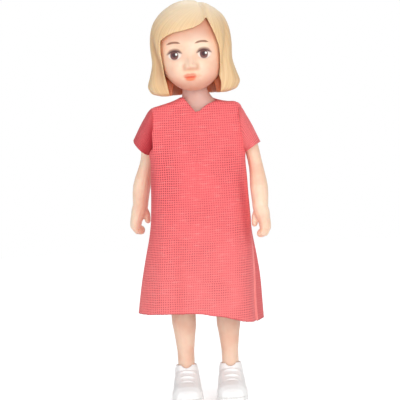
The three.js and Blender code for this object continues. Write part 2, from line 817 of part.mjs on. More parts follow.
function shoeOutline(shrink) {
  const ball = shoeHalf - shrink;
  const heel = shoeHalf * 0.8 - shrink;
  const outline = new THREE.Shape();
  outline.moveTo(ball, toeY + 5.2);
  outline.bezierCurveTo(
    ball, toeY + shrink - 0.4, -ball, toeY + shrink - 0.4, -ball, toeY + 5.2,
  );
  outline.bezierCurveTo(-ball, toeY + 9, -heel, heelY - 6, -heel, heelY - heel - 0.4);
  outline.bezierCurveTo(
    -heel, heelY - shrink + 0.5, heel, heelY - shrink + 0.5, heel, heelY - heel - 0.4,
  );
  outline.bezierCurveTo(heel, heelY - 6, ball, toeY + 9, ball, toeY + 5.2);
  return outline;
}

// Cross sections of the upper, from the heel to the toe: [y, half width, height]
const alongShoe = (share) => heelY - shoeLength * share;
const upperSections = [
  [alongShoe(0.02), shoeHalf * 0.36, collarHeight - 4.6],
  [alongShoe(0.065), shoeHalf * 0.66, collarHeight - 2.8],
  [alongShoe(0.15), shoeHalf * 0.8, collarHeight - 1.2],
  [alongShoe(0.31), shoeHalf * 0.88, collarHeight - 0.3],
  [alongShoe(0.45), shoeHalf * 0.9, collarHeight - 0.7],
  [alongShoe(0.53), shoeHalf * 0.91, toeHeight + 2.8],
  [alongShoe(0.62), shoeHalf * 0.92, toeHeight + 1.5],
  [alongShoe(0.705), shoeHalf * 0.94, toeHeight + 0.5],
  [alongShoe(0.79), shoeHalf * 0.93, toeHeight + 0.1],
  [alongShoe(0.88), shoeHalf * 0.84, toeHeight - 0.6],
  [alongShoe(0.945), shoeHalf * 0.64, toeHeight - 1.6],
  [alongShoe(0.98), shoeHalf * 0.3, toeHeight - 2.6],
];

function upperShape(grow) {
  const count = 12;
  const rings = upperSections.map(([y, half, height]) =>
    Array.from({ length: count + 1 }, (_, k) => {
      const angle = (Math.PI * k) / count;
      const c = Math.cos(angle);
      const s = Math.sin(angle);
      const x = (half + grow) * Math.sign(c) * Math.abs(c) ** 0.6;
      const z = soleThickness - 0.3 + (height + grow - soleThickness + 0.3) * s ** 0.72;
      return point(x, y - (y < alongShoe(0.7) ? grow : 0), z);
    }),
  );
  return solidOf(loft(rings));
}

function shoeSolid(side) {
  const sole = new THREE.ExtrudeGeometry(shoeOutline(0.12), {
    depth: soleThickness - 0.24,
    bevelThickness: 0.12,
    bevelSize: 0.12,
    bevelSegments: 1,
    curveSegments: 4,
  }).translate(0, 0, 0.12);
  const capRound = 7.2; // radius of the toe cap's edge, seen from the side
  const toeCap = upperShape(soleEdge).subtract(
    rod(-shoeWidth, shoeWidth, capRound, point(1, 0, 0), point(0, alongShoe(0.45), 2.2), 18),
  );
  const ankle = point(0, ankleBehindHip, 0);
  const tongueDip = 1.7; // radius of the dip over the tongue, between the two eyelet tabs
  const collar = turned(
    [
      [collarHeight - 2.4, 0],
      [collarHeight - 2.4, ankleRadius + 1],
      [collarHeight - 1, ankleRadius + 0.8],
      [collarHeight, ankleRadius + 0.55],
      [collarHeight + collarLip, ankleRadius + 0.45],
      [collarHeight + collarLip, 0],
    ],
    point(0, 0, 1),
    ankle,
    20,
  ).subtract(
    rod(-shoeLength, 0, tongueDip, point(0, 1, 0), ankle.clone().setZ(collarHeight + 1.2), 16),
  );
  let shoe = solidOf(sole).add(upperShape(0)).add(toeCap).add(collar);
  for (let k = 0; k < laceCount; k++) {
    const y = alongShoe(0.52) - k * laceSpacing;
    const height = along([...upperSections].reverse().map(([at, , z]) => [at, z]), y);
    const lace = limb(
      [
        point(-2.6, y + 0.5, height - 0.95),
        point(-1.1, y + 0.1, height + 0.02),
        point(1.1, y - 0.1, height + 0.02),
        point(2.6, y + 0.3, height - 0.95),
      ],
      [[laceRadius, laceRadius], [laceRadius, laceRadius]],
      { sides: 6, stepCount: 5 },
    );
    shoe = shoe.add(solidOf(lace));
  }
  const legTop = collarHeight + 2;
  shoe = shoe.subtract(rod(ankleDepth - gap, legTop, ankleRadius + gap, point(0, 0, 1), ankle, 20));
  return shoe.translate([side * legX, 0, 0]);
}

// Dress: a shell round the body, open at the neck, the armholes and the hem.
const skirtFoot = hemHeight - hemDrop - 4.4; // below the lowest place of the hem
const skirt = (share) => mix(skirtFoot, waistHeight, share);
const yoke = (share) => mix(yokeHeight, neckSeamHeight, share);
const dressWidths = [
  [skirt(0), hemWidth / 2 + 0.3],
  [skirt(0.13), hemWidth / 2],
  [skirt(0.42), mix(waistWidth, hemWidth, 0.72) / 2],
  [skirt(0.59), mix(waistWidth, hemWidth, 0.48) / 2],
  [skirt(0.77), mix(waistWidth, hemWidth, 0.18) / 2],
  [waistHeight, waistWidth / 2],
  [waistHeight + 6, waistWidth / 2 - 0.2],
  [underarmHeight - 2.2, chestX],
  [underarmHeight, chestX + 0.3],
  [underarmHeight + 1.8, armholeX + 2.3],
  [yokeHeight - 1.2, armholeX + 2.3],
  [yokeHeight, armholeX],
  [yoke(0.33), 9.4],
  [yoke(0.67), 6.6],
  [neckSeamHeight, 3.9],
];
const dressFront = [
  [skirt(0), hemDepth / 2 + 0.9],
  [skirt(0.13), hemDepth / 2 + 0.2],
  [skirt(0.59), mix(waistDepth, hemDepth, 0.48) / 2],
  [waistHeight, waistDepth / 2],
  [underarmHeight - 3.2, chestDepth / 2 + 0.8],
  [yokeHeight - 8.2, chestDepth / 2 + 0.4],
  [yokeHeight - 3.7, chestDepth / 2 - 0.4],
  [yokeHeight - 1.2, chestDepth / 2 - 1.1],
  [yokeHeight, 4.6],
  [neckSeamHeight, 4.2],
];
const dressBack = [
  [skirt(0), hemDepth / 2],
  [skirt(0.13), hemDepth / 2 - 0.5],
  [skirt(0.59), mix(waistDepth, hemDepth, 0.48) / 2 - 0.2],
  [waistHeight, waistDepth / 2],
  [underarmHeight - 3.2, chestDepth / 2 + 0.1],
  [yokeHeight - 6.2, chestDepth / 2 - 0.2],
  [yokeHeight - 1.2, chestDepth / 2 - 1.1],
  [yokeHeight, 4.7],
  [neckSeamHeight, 4.2],
];
const dressShift = [
  [skirt(0), hemShift - 0.2],
  [skirt(0.26), hemShift + 0.3],
  [skirt(0.59), hemShift * 0.33],
  [skirt(0.85), 0],
];
const dressLevels = [
  ...steps(skirtFoot, waistHeight - 1, 7),
  waistHeight + 5,
  underarmHeight - 3.2,
  underarmHeight,
  underarmHeight + 1.8,
  ...[7.2, 3.7, 1.2, 0].map((drop) => yokeHeight - drop),
  yoke(0.3),
  yoke(0.63),
  neckSeamHeight,
];

// Soft upright folds that grow from the waist to the hem, and the flare of the left back panel.
function foldWave(angle, z) {
  const towardsHem = THREE.MathUtils.clamp((waistHeight + 4 - z) / (waistHeight - skirtFoot), 0, 1);
  const folds = foldDepth * (0.6 * Math.cos(5 * angle + 0.9) + 0.4 * Math.cos(9 * angle));
  const flare = backFlare * bump(angle - 0.42, 0.26) * towardsHem;
  return towardsHem * (folds + flare);
}

function dressShape(inset) {
  const levels = inset > 0 ? [skirtFoot - 1, ...dressLevels.slice(1)] : dressLevels;
  const rings = levels.map((z) =>
    levelRing(z, {
      x: along(dressShift, z),
      half: along(dressWidths, z) - inset,
      front: along(dressFront, z) - inset,
      back: along(dressBack, z) - inset,
      power: z > underarmHeight ? 3 : 2.35,
      count: 40,
      push: foldWave,
    }).map((p) => (z > yokeHeight - 0.1 ? p.setZ(p.z - inset) : p)),
  );
  return solidOf(loft(rings));
}

const neckLeft = neckHoleShift + neckHoleWidth / 2;
const neckRight = neckHoleShift - neckHoleWidth / 2;
const vShape = new THREE.Shape();
vShape.moveTo(neckPointShift, neckPointHeight);
vShape.quadraticCurveTo(
  neckPointShift + 2.2, neckPointHeight + 2.2, neckLeft, neckSeamHeight - 0.9,
);
vShape.lineTo(neckLeft, aboveDoll);
vShape.lineTo(neckRight, aboveDoll);
vShape.lineTo(neckRight, neckSeamHeight - 0.5);
vShape.lineTo(neckPointShift, neckPointHeight);
const vCutter = new THREE.ExtrudeGeometry(vShape, { depth: reach, bevelEnabled: false });
vCutter.rotateX(Math.PI / 2);

const neckHole = solidOf(
  loft(
    [shoulderHeight, neckTopHeight + 4].map((z) =>
      levelRing(z, {
        x: neckHoleShift,
        half: neckHoleWidth / 2,
        front: 0.5,
        back: 4.4,
        count: 24,
      }),
    ),
  ),
);

// Below the hem: level on the doll's right, falling towards its left.
const belowHem = new THREE.Shape();
belowHem.moveTo(-reach, -reach);
belowHem.lineTo(reach, -reach);
belowHem.lineTo(reach, hemHeight - hemDrop);
[[0.46, 1], [0.28, 0.82], [0.08, 0.31], [-0.07, 0]].forEach(([across, fallen]) =>
  belowHem.lineTo(across * hemWidth, hemHeight - hemDrop * fallen),
);
belowHem.lineTo(-reach, hemHeight);
const hemCutter = new THREE.ExtrudeGeometry(belowHem, { depth: 2 * reach, bevelEnabled: false });
hemCutter.translate(0, 0, -reach).rotateX(Math.PI / 2);

let dress = dressShape(0)
  .subtract(dressShape(clothThickness))
  .subtract(solidOf(vCutter))
  .subtract(neckHole)
  .subtract(solidOf(hemCutter));
for (const side of Object.values(sides)) {
  const seam = side * armholeX;
  const far = side * reach;
  dress = dress.subtract(
    block([Math.min(seam, far), -reach, underarmHeight], [Math.max(seam, far), reach, aboveDoll]),
  );
}
for (const pose of Object.values(armPose)) {
  const room = armShaft(pose, gap);
  dress = dress.subtract(pose.side > 0 ? room : room.mirror([1, 0, 0]));
}
const dressFrontPanel = dress.subtract(block([-reach, -gap / 2, 0], [reach, reach, aboveDoll]));
const dressBackPanel = dress.subtract(block([-reach, -reach, 0], [reach, gap / 2, aboveDoll]));
const backLeftPanel = dressBackPanel.subtract(
  block([-reach, -reach, 0], [-closureLap, reach, aboveDoll]),
);
const backRightPanel = dressBackPanel.subtract(
  block([-closureLap - gap, -reach, 0], [reach, reach, aboveDoll]),
);

// Closure tape: a strip under both back panels, along the opening.
const tapeWidth = 3.6;
const tapeBottom = waistHeight - 14;
const tapeTop = shoulderHeight - 2.6;
const tapeThickness = 0.5;
const closureTape = dressShape(clothThickness + gap)
  .subtract(dressShape(clothThickness + gap + tapeThickness))
  .intersect(
    block(
      [-closureLap - tapeWidth / 2, 2, tapeBottom],
      [-closureLap + tapeWidth / 2, reach, tapeTop],
    ),
  );

// Sleeve: a short tube from the armhole seam to its slanted opening, swung with the arm.
function sleeveSolid({ side, swing, turn, sleeveDrop }) {
  const seam = armholeX + gap;
  const outerEnd = point(armholeX + sleeveOut, 0, shoulderHeight - sleeveDrop);
  const innerEnd = point(armholeX + sleeveInnerOut, 0, shoulderHeight - sleeveInnerDrop);
  const opening = [armholeX + underarmOpening.out, reach, shoulderHeight - underarmOpening.drop];
  const seamDeep = chestDepth / 2 - 1.2;
  const bulge = 0.7;
  const tube = (inset, overrun) => {
    const rings = steps(-overrun, 1 + overrun, 5).map((share) => {
      const t = THREE.MathUtils.clamp(share, 0, 1);
      const rise = bulge * Math.sin(Math.PI * t);
      const top = point(seam, 0, yokeHeight).lerp(outerEnd, t);
      top.z += rise;
      const low = point(seam, 0, underarmHeight).lerp(innerEnd, t);
      const middle = top.clone().add(low).multiplyScalar(0.5);
      middle.add(point(4, 0, -8).multiplyScalar(share - t));
      const up = top.clone().sub(low).multiplyScalar(0.5);
      up.setLength(up.length() - inset);
      const deep = point(0, mix(seamDeep, sleeveDepth / 2, t) - inset, 0);
      return Array.from({ length: 20 }, (_, k) => {
        const angle = (2 * Math.PI * k) / 20;
        return middle
          .clone()
          .addScaledVector(up, Math.sin(angle))
          .addScaledVector(deep, Math.cos(angle));
      });
    });
    return solidOf(loft(rings));
  };
  const sleeve = tube(0, 0)
    .subtract(tube(clothThickness, 0.12))
    .subtract(block([-reach, -reach, 0], [seam, reach, aboveDoll]))
    .subtract(block([-reach, -reach, 0], opening))
    .translate([0, 0, -shoulderHeight])
    .rotate([swing, 0, 0])
    .translate([0, 0, shoulderHeight])
    .subtract(armShaft({ swing, turn }, gap));
  return side > 0 ? sleeve : sleeve.mirror([1, 0, 0]);
}

// The doll: body and dress first, then each limb with its peg.
const doll = new THREE.Group();
doll.add(
  piece('torso_front', torsoFrontHalf, bodyPlastic),
  piece('torso_back', torsoBackHalf, bodyPlastic),
  piece('neck_peg', neckPeg, pegPlastic),
  headGroup,
  piece('dress_front', dressFrontPanel, wovenCotton),
  piece('dress_back_left', backLeftPanel, wovenCotton),
  piece('dress_back_right', backRightPanel, wovenCotton),
  piece('closure_tape', closureTape, tapeNylon),
);
for (const [name, side] of Object.entries(sides)) {
  const axis = sideAxis(side);
  const shoulderEnd = gap + limbPegDepth;
  doll.add(
    piece('arm_' + name, armSolid(armPose[name]), vinyl),
    piece('sleeve_' + name, sleeveSolid(armPose[name]), wovenCotton),
    piece('leg_' + name, legSolid(side), vinyl),
    piece('shoe_' + name, shoeSolid(side), whiteVinyl),
    piece(
      'shoulder_peg_' + name,
      pegSolid(axis, shoulderPlace(side), shoulderPegHead, shoulderEnd),
      pegPlastic,
    ),
    piece('hip_peg_' + name, pegSolid(axis, hipPlace(side), hipPegHead, shoulderEnd), pegPlastic),
  );
}

export default doll;
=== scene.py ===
import logging
import math
from dataclasses import dataclass, field
from enum import Enum
from typing import Callable, Sequence

import bmesh
import bpy
from mathutils import Matrix, Vector, noise


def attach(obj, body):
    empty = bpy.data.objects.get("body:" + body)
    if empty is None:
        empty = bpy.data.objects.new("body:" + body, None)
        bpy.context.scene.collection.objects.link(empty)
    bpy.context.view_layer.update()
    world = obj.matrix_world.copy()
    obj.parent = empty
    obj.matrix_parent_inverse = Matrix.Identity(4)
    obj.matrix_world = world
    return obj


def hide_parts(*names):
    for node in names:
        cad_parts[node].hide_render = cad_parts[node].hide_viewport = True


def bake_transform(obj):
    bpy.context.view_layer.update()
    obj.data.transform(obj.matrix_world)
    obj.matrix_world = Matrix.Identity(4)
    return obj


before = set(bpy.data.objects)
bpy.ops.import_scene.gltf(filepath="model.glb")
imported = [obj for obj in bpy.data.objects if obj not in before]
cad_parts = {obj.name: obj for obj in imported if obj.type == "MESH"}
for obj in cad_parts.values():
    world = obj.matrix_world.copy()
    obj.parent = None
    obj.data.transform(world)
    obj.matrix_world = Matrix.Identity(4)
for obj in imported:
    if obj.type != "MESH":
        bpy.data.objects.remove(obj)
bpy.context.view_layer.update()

log = logging.getLogger("miniature_doll")

MM = 0.001
MERGE = 0.001 * MM  # points closer than this are one
WHITE = (1.0, 1.0, 1.0)
POLE = 0.99999  # beyond this height of the unit ball lie only its two poles
Colour = tuple[float, float, float]
Pairs = Sequence[tuple[float, float]]


class Side(Enum):
    """The doll's own sides: its left is +X."""

    LEFT = 1
    RIGHT = -1

    @property
    def label(self) -> str:
        """Lower-case word used in node names."""
        return self.name.lower()


class Panel(Enum):
    """Pieces that the dress is cut from."""

    FRONT = "dress_front"
    BACK_LEFT = "dress_back_left"
    BACK_RIGHT = "dress_back_right"


def srgb(red: int, green: int, blue: int) -> Colour:
    """Linear colour from the values that a screen shows.

    Args:
        red: red part, from 0 to 255.
        green: green part, from 0 to 255.
        blue: blue part, from 0 to 255.

    Returns:
        The colour's three parts as linear shares of 1.
    """

    def channel(value: int) -> float:
        """Linear share of one part."""
        share = value / 255
        return share / 12.92 if share <= 0.04045 else ((share + 0.055) / 1.055) ** 2.4

    return channel(red), channel(green), channel(blue)


def mix(low: float, high: float, share: float) -> float:
    """Value at a share of the way from low to high."""
    return low + (high - low) * share


def clamp(value: float, low: float = 0.0, high: float = 1.0) -> float:
    """Value held between low and high."""
    return min(max(value, low), high)


def smooth(low: float, high: float, value: float) -> float:
    """0 at low and 1 at high, with a soft start and end."""
    share = clamp((value - low) / (high - low))
    return share * share * (3 - 2 * share)


def bump(distance: float, width: float) -> float:
    """Soft bump of height 1 at no distance, gone at about twice the width."""
    return math.exp(-((distance / width) ** 2))


def swell(part: float, power: float) -> float:
    """Sine or cosine raised to a power with its sign kept; under 1 it makes a round boxier."""
    return math.copysign(abs(part) ** power, part)


def along(pairs: Pairs, at: float) -> float:
    """Value at a place on the smooth curve through (place, value) pairs.

    Args:
        pairs: places in rising order, each with its value.
        at: place to read.

    Returns:
        The value there, level beyond both ends.
    """
    if at <= pairs[0][0]:
        return pairs[0][1]
    if at >= pairs[-1][0]:
        return pairs[-1][1]
    last = len(pairs) - 1
    k = next(index for index, pair in enumerate(pairs) if pair[0] > at) - 1

    def slope(index: int) -> float:
        """Slope at one of the pairs, taken between its neighbours."""
        low, high = pairs[max(index - 1, 0)], pairs[min(index + 1, last)]
        return (high[1] - low[1]) / (high[0] - low[0])

    (x0, y0), (x1, y1) = pairs[k], pairs[k + 1]
    span = x1 - x0
    t = (at - x0) / span
    return (
        (2 * t**3 - 3 * t**2 + 1) * y0
        + (t**3 - 2 * t**2 + t) * span * slope(k)
        + (3 * t**2 - 2 * t**3) * y1
        + (t**3 - t**2) * span * slope(k + 1)
    )


class Recipe:
    """One procedural material, built node by node."""

    def __init__(self, name: str) -> None:
        """Starts an empty material with a Principled shader and its output.

        Args:
            name: name of the material.
        """
        self.material = bpy.data.materials.new(name)
        self.material.use_nodes = True
        self.tree = self.material.node_tree
        self.tree.nodes.clear()
        self.shader = self.add("ShaderNodeBsdfPrincipled")
        output = self.add("ShaderNodeOutputMaterial")
        self.join(self.shader.outputs["BSDF"], output.inputs["Surface"])

    def add(self, kind: str, **settings: object) -> bpy.types.Node:
        """Adds a node.

        Args:
            kind: type name of the node.
            **settings: values of the node by attribute name.

        Returns:
            The node.
        """
        node = self.tree.nodes.new(kind)
        for key, value in settings.items():
            setattr(node, key, value)
        return node

    def join(self, source: bpy.types.NodeSocket, target: bpy.types.NodeSocket) -> None:
        """Links an output socket to an input socket."""
        self.tree.links.new(source, target)

    def put(self, target: bpy.types.NodeSocket, value: object) -> None:
        """Sets an input to a plain value, or links it to a socket.

        Args:
            target: input to set.
            value: plain value, or the output socket to link.
        """
        if isinstance(value, bpy.types.NodeSocket):
            self.join(value, target)
        else:
            target.default_value = value

    def math(self, operation: str, *values: object, hold: bool = False) -> bpy.types.NodeSocket:
        """Works out one operation on numbers or sockets.

        Args:
            operation: name of the operation.
            *values: its numbers or sockets in order.
            hold: whether the result is held between 0 and 1.

        Returns:
            The socket of the result.
        """
        node = self.add("ShaderNodeMath", operation=operation, use_clamp=hold)
        for index, value in enumerate(values):
            self.put(node.inputs[index], value)
        return node.outputs[0]

    def place(
        self, scale: float = 1000.0, turn: Vector | None = None, shift: Vector | None = None
    ) -> bpy.types.NodeSocket:
        """Object coordinates scaled, turned and shifted.

        Args:
            scale: factor on all three axes; 1000 gives millimetres.
            turn: angles about X, Y and Z in radians.
            shift: offset after the turn.

        Returns:
            The vector socket.
        """
        source = self.add("ShaderNodeTexCoord").outputs["Object"]
        node = self.add("ShaderNodeMapping")
        self.join(source, node.inputs["Vector"])
        node.inputs["Scale"].default_value = (scale, scale, scale)
        node.inputs["Rotation"].default_value = turn or (0, 0, 0)
        node.inputs["Location"].default_value = shift or (0, 0, 0)
        return node.outputs["Vector"]

    def parts(self, vector: bpy.types.NodeSocket) -> list[bpy.types.NodeSocket]:
        """Splits a vector.

        Args:
            vector: socket of the vector.

        Returns:
            Its X, Y and Z sockets.
        """
        node = self.add("ShaderNodeSeparateXYZ")
        self.join(vector, node.inputs[0])
        return list(node.outputs)

    def attribute(self, name: str) -> bpy.types.NodeSocket:
        """Number stored on the mesh under a name."""
        return self.add("ShaderNodeAttribute", attribute_name=name).outputs["Fac"]

    def grain(
        self, vector: bpy.types.NodeSocket, scale: float,
        detail: float = 3.0, roughness: float = 0.55,
    ) -> bpy.types.NodeSocket:
        """Makes soft noise.

        Args:
            vector: where the noise is read.
            scale: waves per unit of the vector.
            detail: how many finer rounds are added.
            roughness: weight of the finer rounds.

        Returns:
            The noise, from 0 to 1.
        """
        node = self.add("ShaderNodeTexNoise")
        self.join(vector, node.inputs["Vector"])
        node.inputs["Scale"].default_value = scale
        node.inputs["Detail"].default_value = detail
        node.inputs["Roughness"].default_value = roughness
        return node.outputs["Fac"]

    def span(
        self, value: bpy.types.NodeSocket, low: float, high: float, to_low: float, to_high: float
    ) -> bpy.types.NodeSocket:
        """Moves a value softly from one range to another and holds it there.

        Args:
            value: socket of the value.
            low: value that becomes to_low.
            high: value that becomes to_high.
            to_low: result at low.
            to_high: result at high.

        Returns:
            The socket of the result.
        """
        node = self.add("ShaderNodeMapRange", interpolation_type="SMOOTHSTEP")
        for index, number in enumerate((value, low, high, to_low, to_high)):
            self.put(node.inputs[index], number)
        return node.outputs[0]

    def blend(self, share: object, under: object, over: object) -> bpy.types.NodeSocket:
        """Lays one colour over another.

        Args:
            share: 0 shows the colour under, 1 the colour over.
            under: colour or socket.
            over: colour or socket.

        Returns:
            The socket of the mixed colour.
        """
        node = self.add("ShaderNodeMix", data_type="RGBA")
        colours = [socket for socket in node.inputs if socket.type == "RGBA"]
        self.put(node.inputs[0], share)
        for socket, value in zip(colours, (under, over)):
            self.put(socket, (*value, 1.0) if isinstance(value, tuple) else value)
        return next(socket for socket in node.outputs if socket.type == "RGBA")

    def relief(
        self,
        height: bpy.types.NodeSocket,
        distance: float,
        strength: float = 1.0,
        normal: bpy.types.NodeSocket | None = None,
    ) -> bpy.types.NodeSocket:
        """Bends the normal by a height.

        Args:
            height: socket of the height.
            distance: metres for one unit of height.
            strength: share of the effect.
            normal: normal that is bent already.

        Returns:
            The socket of the bent normal.
        """
        node = self.add("ShaderNodeBump")
        node.inputs["Strength"].default_value = strength
        node.inputs["Distance"].default_value = distance
        self.join(height, node.inputs["Height"])
        if normal is not None:
            self.join(normal, node.inputs["Normal"])
        return node.outputs["Normal"]

    def finish(self, **inputs: object) -> bpy.types.Material:
        """Sets the shader's inputs.

        Args:
            **inputs: values or sockets by the input's name, with _ for a space.

        Returns:
            The finished material.
        """
        for key, value in inputs.items():
            self.put(self.shader.inputs[key.replace("_", " ")], value)
        return self.material


@dataclass(frozen=True)
class SoftVinyl:
    """Soft moulded vinyl that lets a little light through."""

    name: str
    colour: Colour
    shade: Colour
    roughness: float = 0.42
    glow: float = 0.25
    glow_colour: Colour = (1.0, 0.42, 0.25)
    glow_depth: float = 1.2 * MM
    grain_height: float = 0.012 * MM

    def build(self) -> bpy.types.Material:
        """Makes the material.

        Returns:
            The material.
        """
        recipe = Recipe(self.name)
        colour, normal = self.surface(recipe)
        return self.settle(recipe, colour, normal)

    def surface(self, recipe: Recipe) -> tuple[bpy.types.NodeSocket, bpy.types.NodeSocket]:
        """Makes the bare surface.

        Args:
            recipe: material to work in.

        Returns:
            Colour with faint clouds, and normal with fine grain.
        """
        place = recipe.place()
        clouds = recipe.span(recipe.grain(place, 0.16), 0.35, 0.7, 0.0, 1.0)
        colour = recipe.blend(clouds, self.colour, self.shade)
        normal = recipe.relief(recipe.grain(place, 3.2, 4.0), self.grain_height)
        return colour, normal

    def settle(
        self, recipe: Recipe, colour: bpy.types.NodeSocket, normal: bpy.types.NodeSocket
    ) -> bpy.types.Material:
        """Joins colour and normal to the shader and sets its plain values.

        Args:
            recipe: material to work in.
            colour: socket of the colour.
            normal: socket of the normal.

        Returns:
            The finished material.
        """
        rough = recipe.span(recipe.grain(recipe.place(), 0.9), 0.3, 0.7, -0.05, 0.06)
        recipe.shader.subsurface_method = "RANDOM_WALK"
        return recipe.finish(
            Base_Color=colour,
            Normal=normal,
            Roughness=recipe.math("ADD", rough, self.roughness),
            Subsurface_Weight=self.glow,
            Subsurface_Radius=self.glow_colour,
            Subsurface_Scale=self.glow_depth,
            IOR=1.45,
        )


@dataclass(frozen=True)
class Pivot:
    """Place and lean of the head's own axes, which start at the chin."""

    origin: Vector
    lean: float

    @classmethod
    def over_neck(
        cls, neck_top: float = 87.6, chin_drop: float = 0.9, lean: float = math.radians(1.6)
    ) -> "Pivot":
        """Pivot of a head leaning to the doll's right, its chin a little below the neck's top."""
        axis = Vector((-math.sin(lean), 0, math.cos(lean)))
        return cls(Vector((0, 0, neck_top)) * MM - axis * chin_drop * MM, lean)

    def matrix(self) -> Matrix:
        """Head's own axes in millimetres to the row frame in metres."""
        turned = Matrix.Translation(self.origin) @ Matrix.Rotation(-self.lean, 4, "Y")
        return turned @ Matrix.Scale(MM, 4)

    def inverse_shift(self) -> Vector:
        """Shift that a Mapping node needs to lead back to the head's own axes."""
        return (Matrix.Rotation(self.lean, 3, "Y") @ (-self.origin)) / MM


class Brush:
    """Paint laid over the face in strokes, in millimetres from the chin."""

    def __init__(
        self, recipe: Recipe, place: bpy.types.NodeSocket, colour: bpy.types.NodeSocket
    ) -> None:
        """Starts on the bare vinyl.

        Args:
            recipe: material that is painted.
            place: position in the head's own millimetres.
            colour: colour of the bare vinyl.
        """
        self.recipe = recipe
        self.colour = colour
        self.x, y, self.z = recipe.parts(place)
        self.front = recipe.span(y, -3.0, -4.5, 0.0, 1.0)

    def lay(self, mask: bpy.types.NodeSocket, paint: Colour, share: float = 1.0) -> None:
        """Lays paint over what is there.

        Args:
            mask: where it goes, from 0 to 1.
            paint: its colour.
            share: how much it covers.
        """
        if share < 1:
            mask = self.recipe.math("MULTIPLY", mask, share)
        self.colour = self.recipe.blend(mask, self.colour, paint)

    def oval(self, cx: float, cz: float, rx: float, rz: float, soft: float) -> bpy.types.NodeSocket:
        """Filled oval on the front of the face.

        Args:
            cx: middle across.
            cz: middle above the chin.
            rx: half width.
            rz: half height.
            soft: share of the radius over which its edge fades, on each side of the line.

        Returns:
            The mask.
        """
        math_of = self.recipe.math
        dx = math_of("DIVIDE", math_of("SUBTRACT", self.x, cx), rx)
        dz = math_of("DIVIDE", math_of("SUBTRACT", self.z, cz), rz)
        far = math_of("ADD", math_of("POWER", dx, 2.0), math_of("POWER", dz, 2.0))
        inside = self.recipe.span(math_of("SQRT", far), 1 - soft, 1 + soft, 1.0, 0.0)
        return math_of("MULTIPLY", inside, self.front)

    def arc(
        self, cx: float, cz: float, half: float, rise: float,
        slope: float, thick: float, soft: float,
    ) -> bpy.types.NodeSocket:
        """Stroke along a shallow arch that thins towards its ends.

        Args:
            cx: middle across.
            cz: top of the arch above the chin.
            half: half its length.
            rise: fall of both ends below the top; a negative one turns the arch over.
            slope: how much higher one end lies than the middle.
            thick: half its thickness.
            soft: width over which its edge fades.

        Returns:
            The mask.
        """
        math_of = self.recipe.math
        dx = math_of("DIVIDE", math_of("SUBTRACT", self.x, cx), half)
        far = math_of("ABSOLUTE", dx)
        fall = math_of("MULTIPLY", math_of("POWER", far, 2.0), -rise)
        line = math_of("ADD", math_of("MULTIPLY", dx, slope), math_of("ADD", fall, cz))
        gap = math_of("ABSOLUTE", math_of("SUBTRACT", self.z, line))
        width = self.recipe.span(far, 0.55, 1.08, thick, 0.02)
        tips = self.recipe.span(far, 0.95, 1.1, 1.0, 0.0)
        inside = self.recipe.span(math_of("SUBTRACT", width, gap), -soft, soft, 0.0, 1.0)
        return math_of("MULTIPLY", math_of("MULTIPLY", inside, tips), self.front)


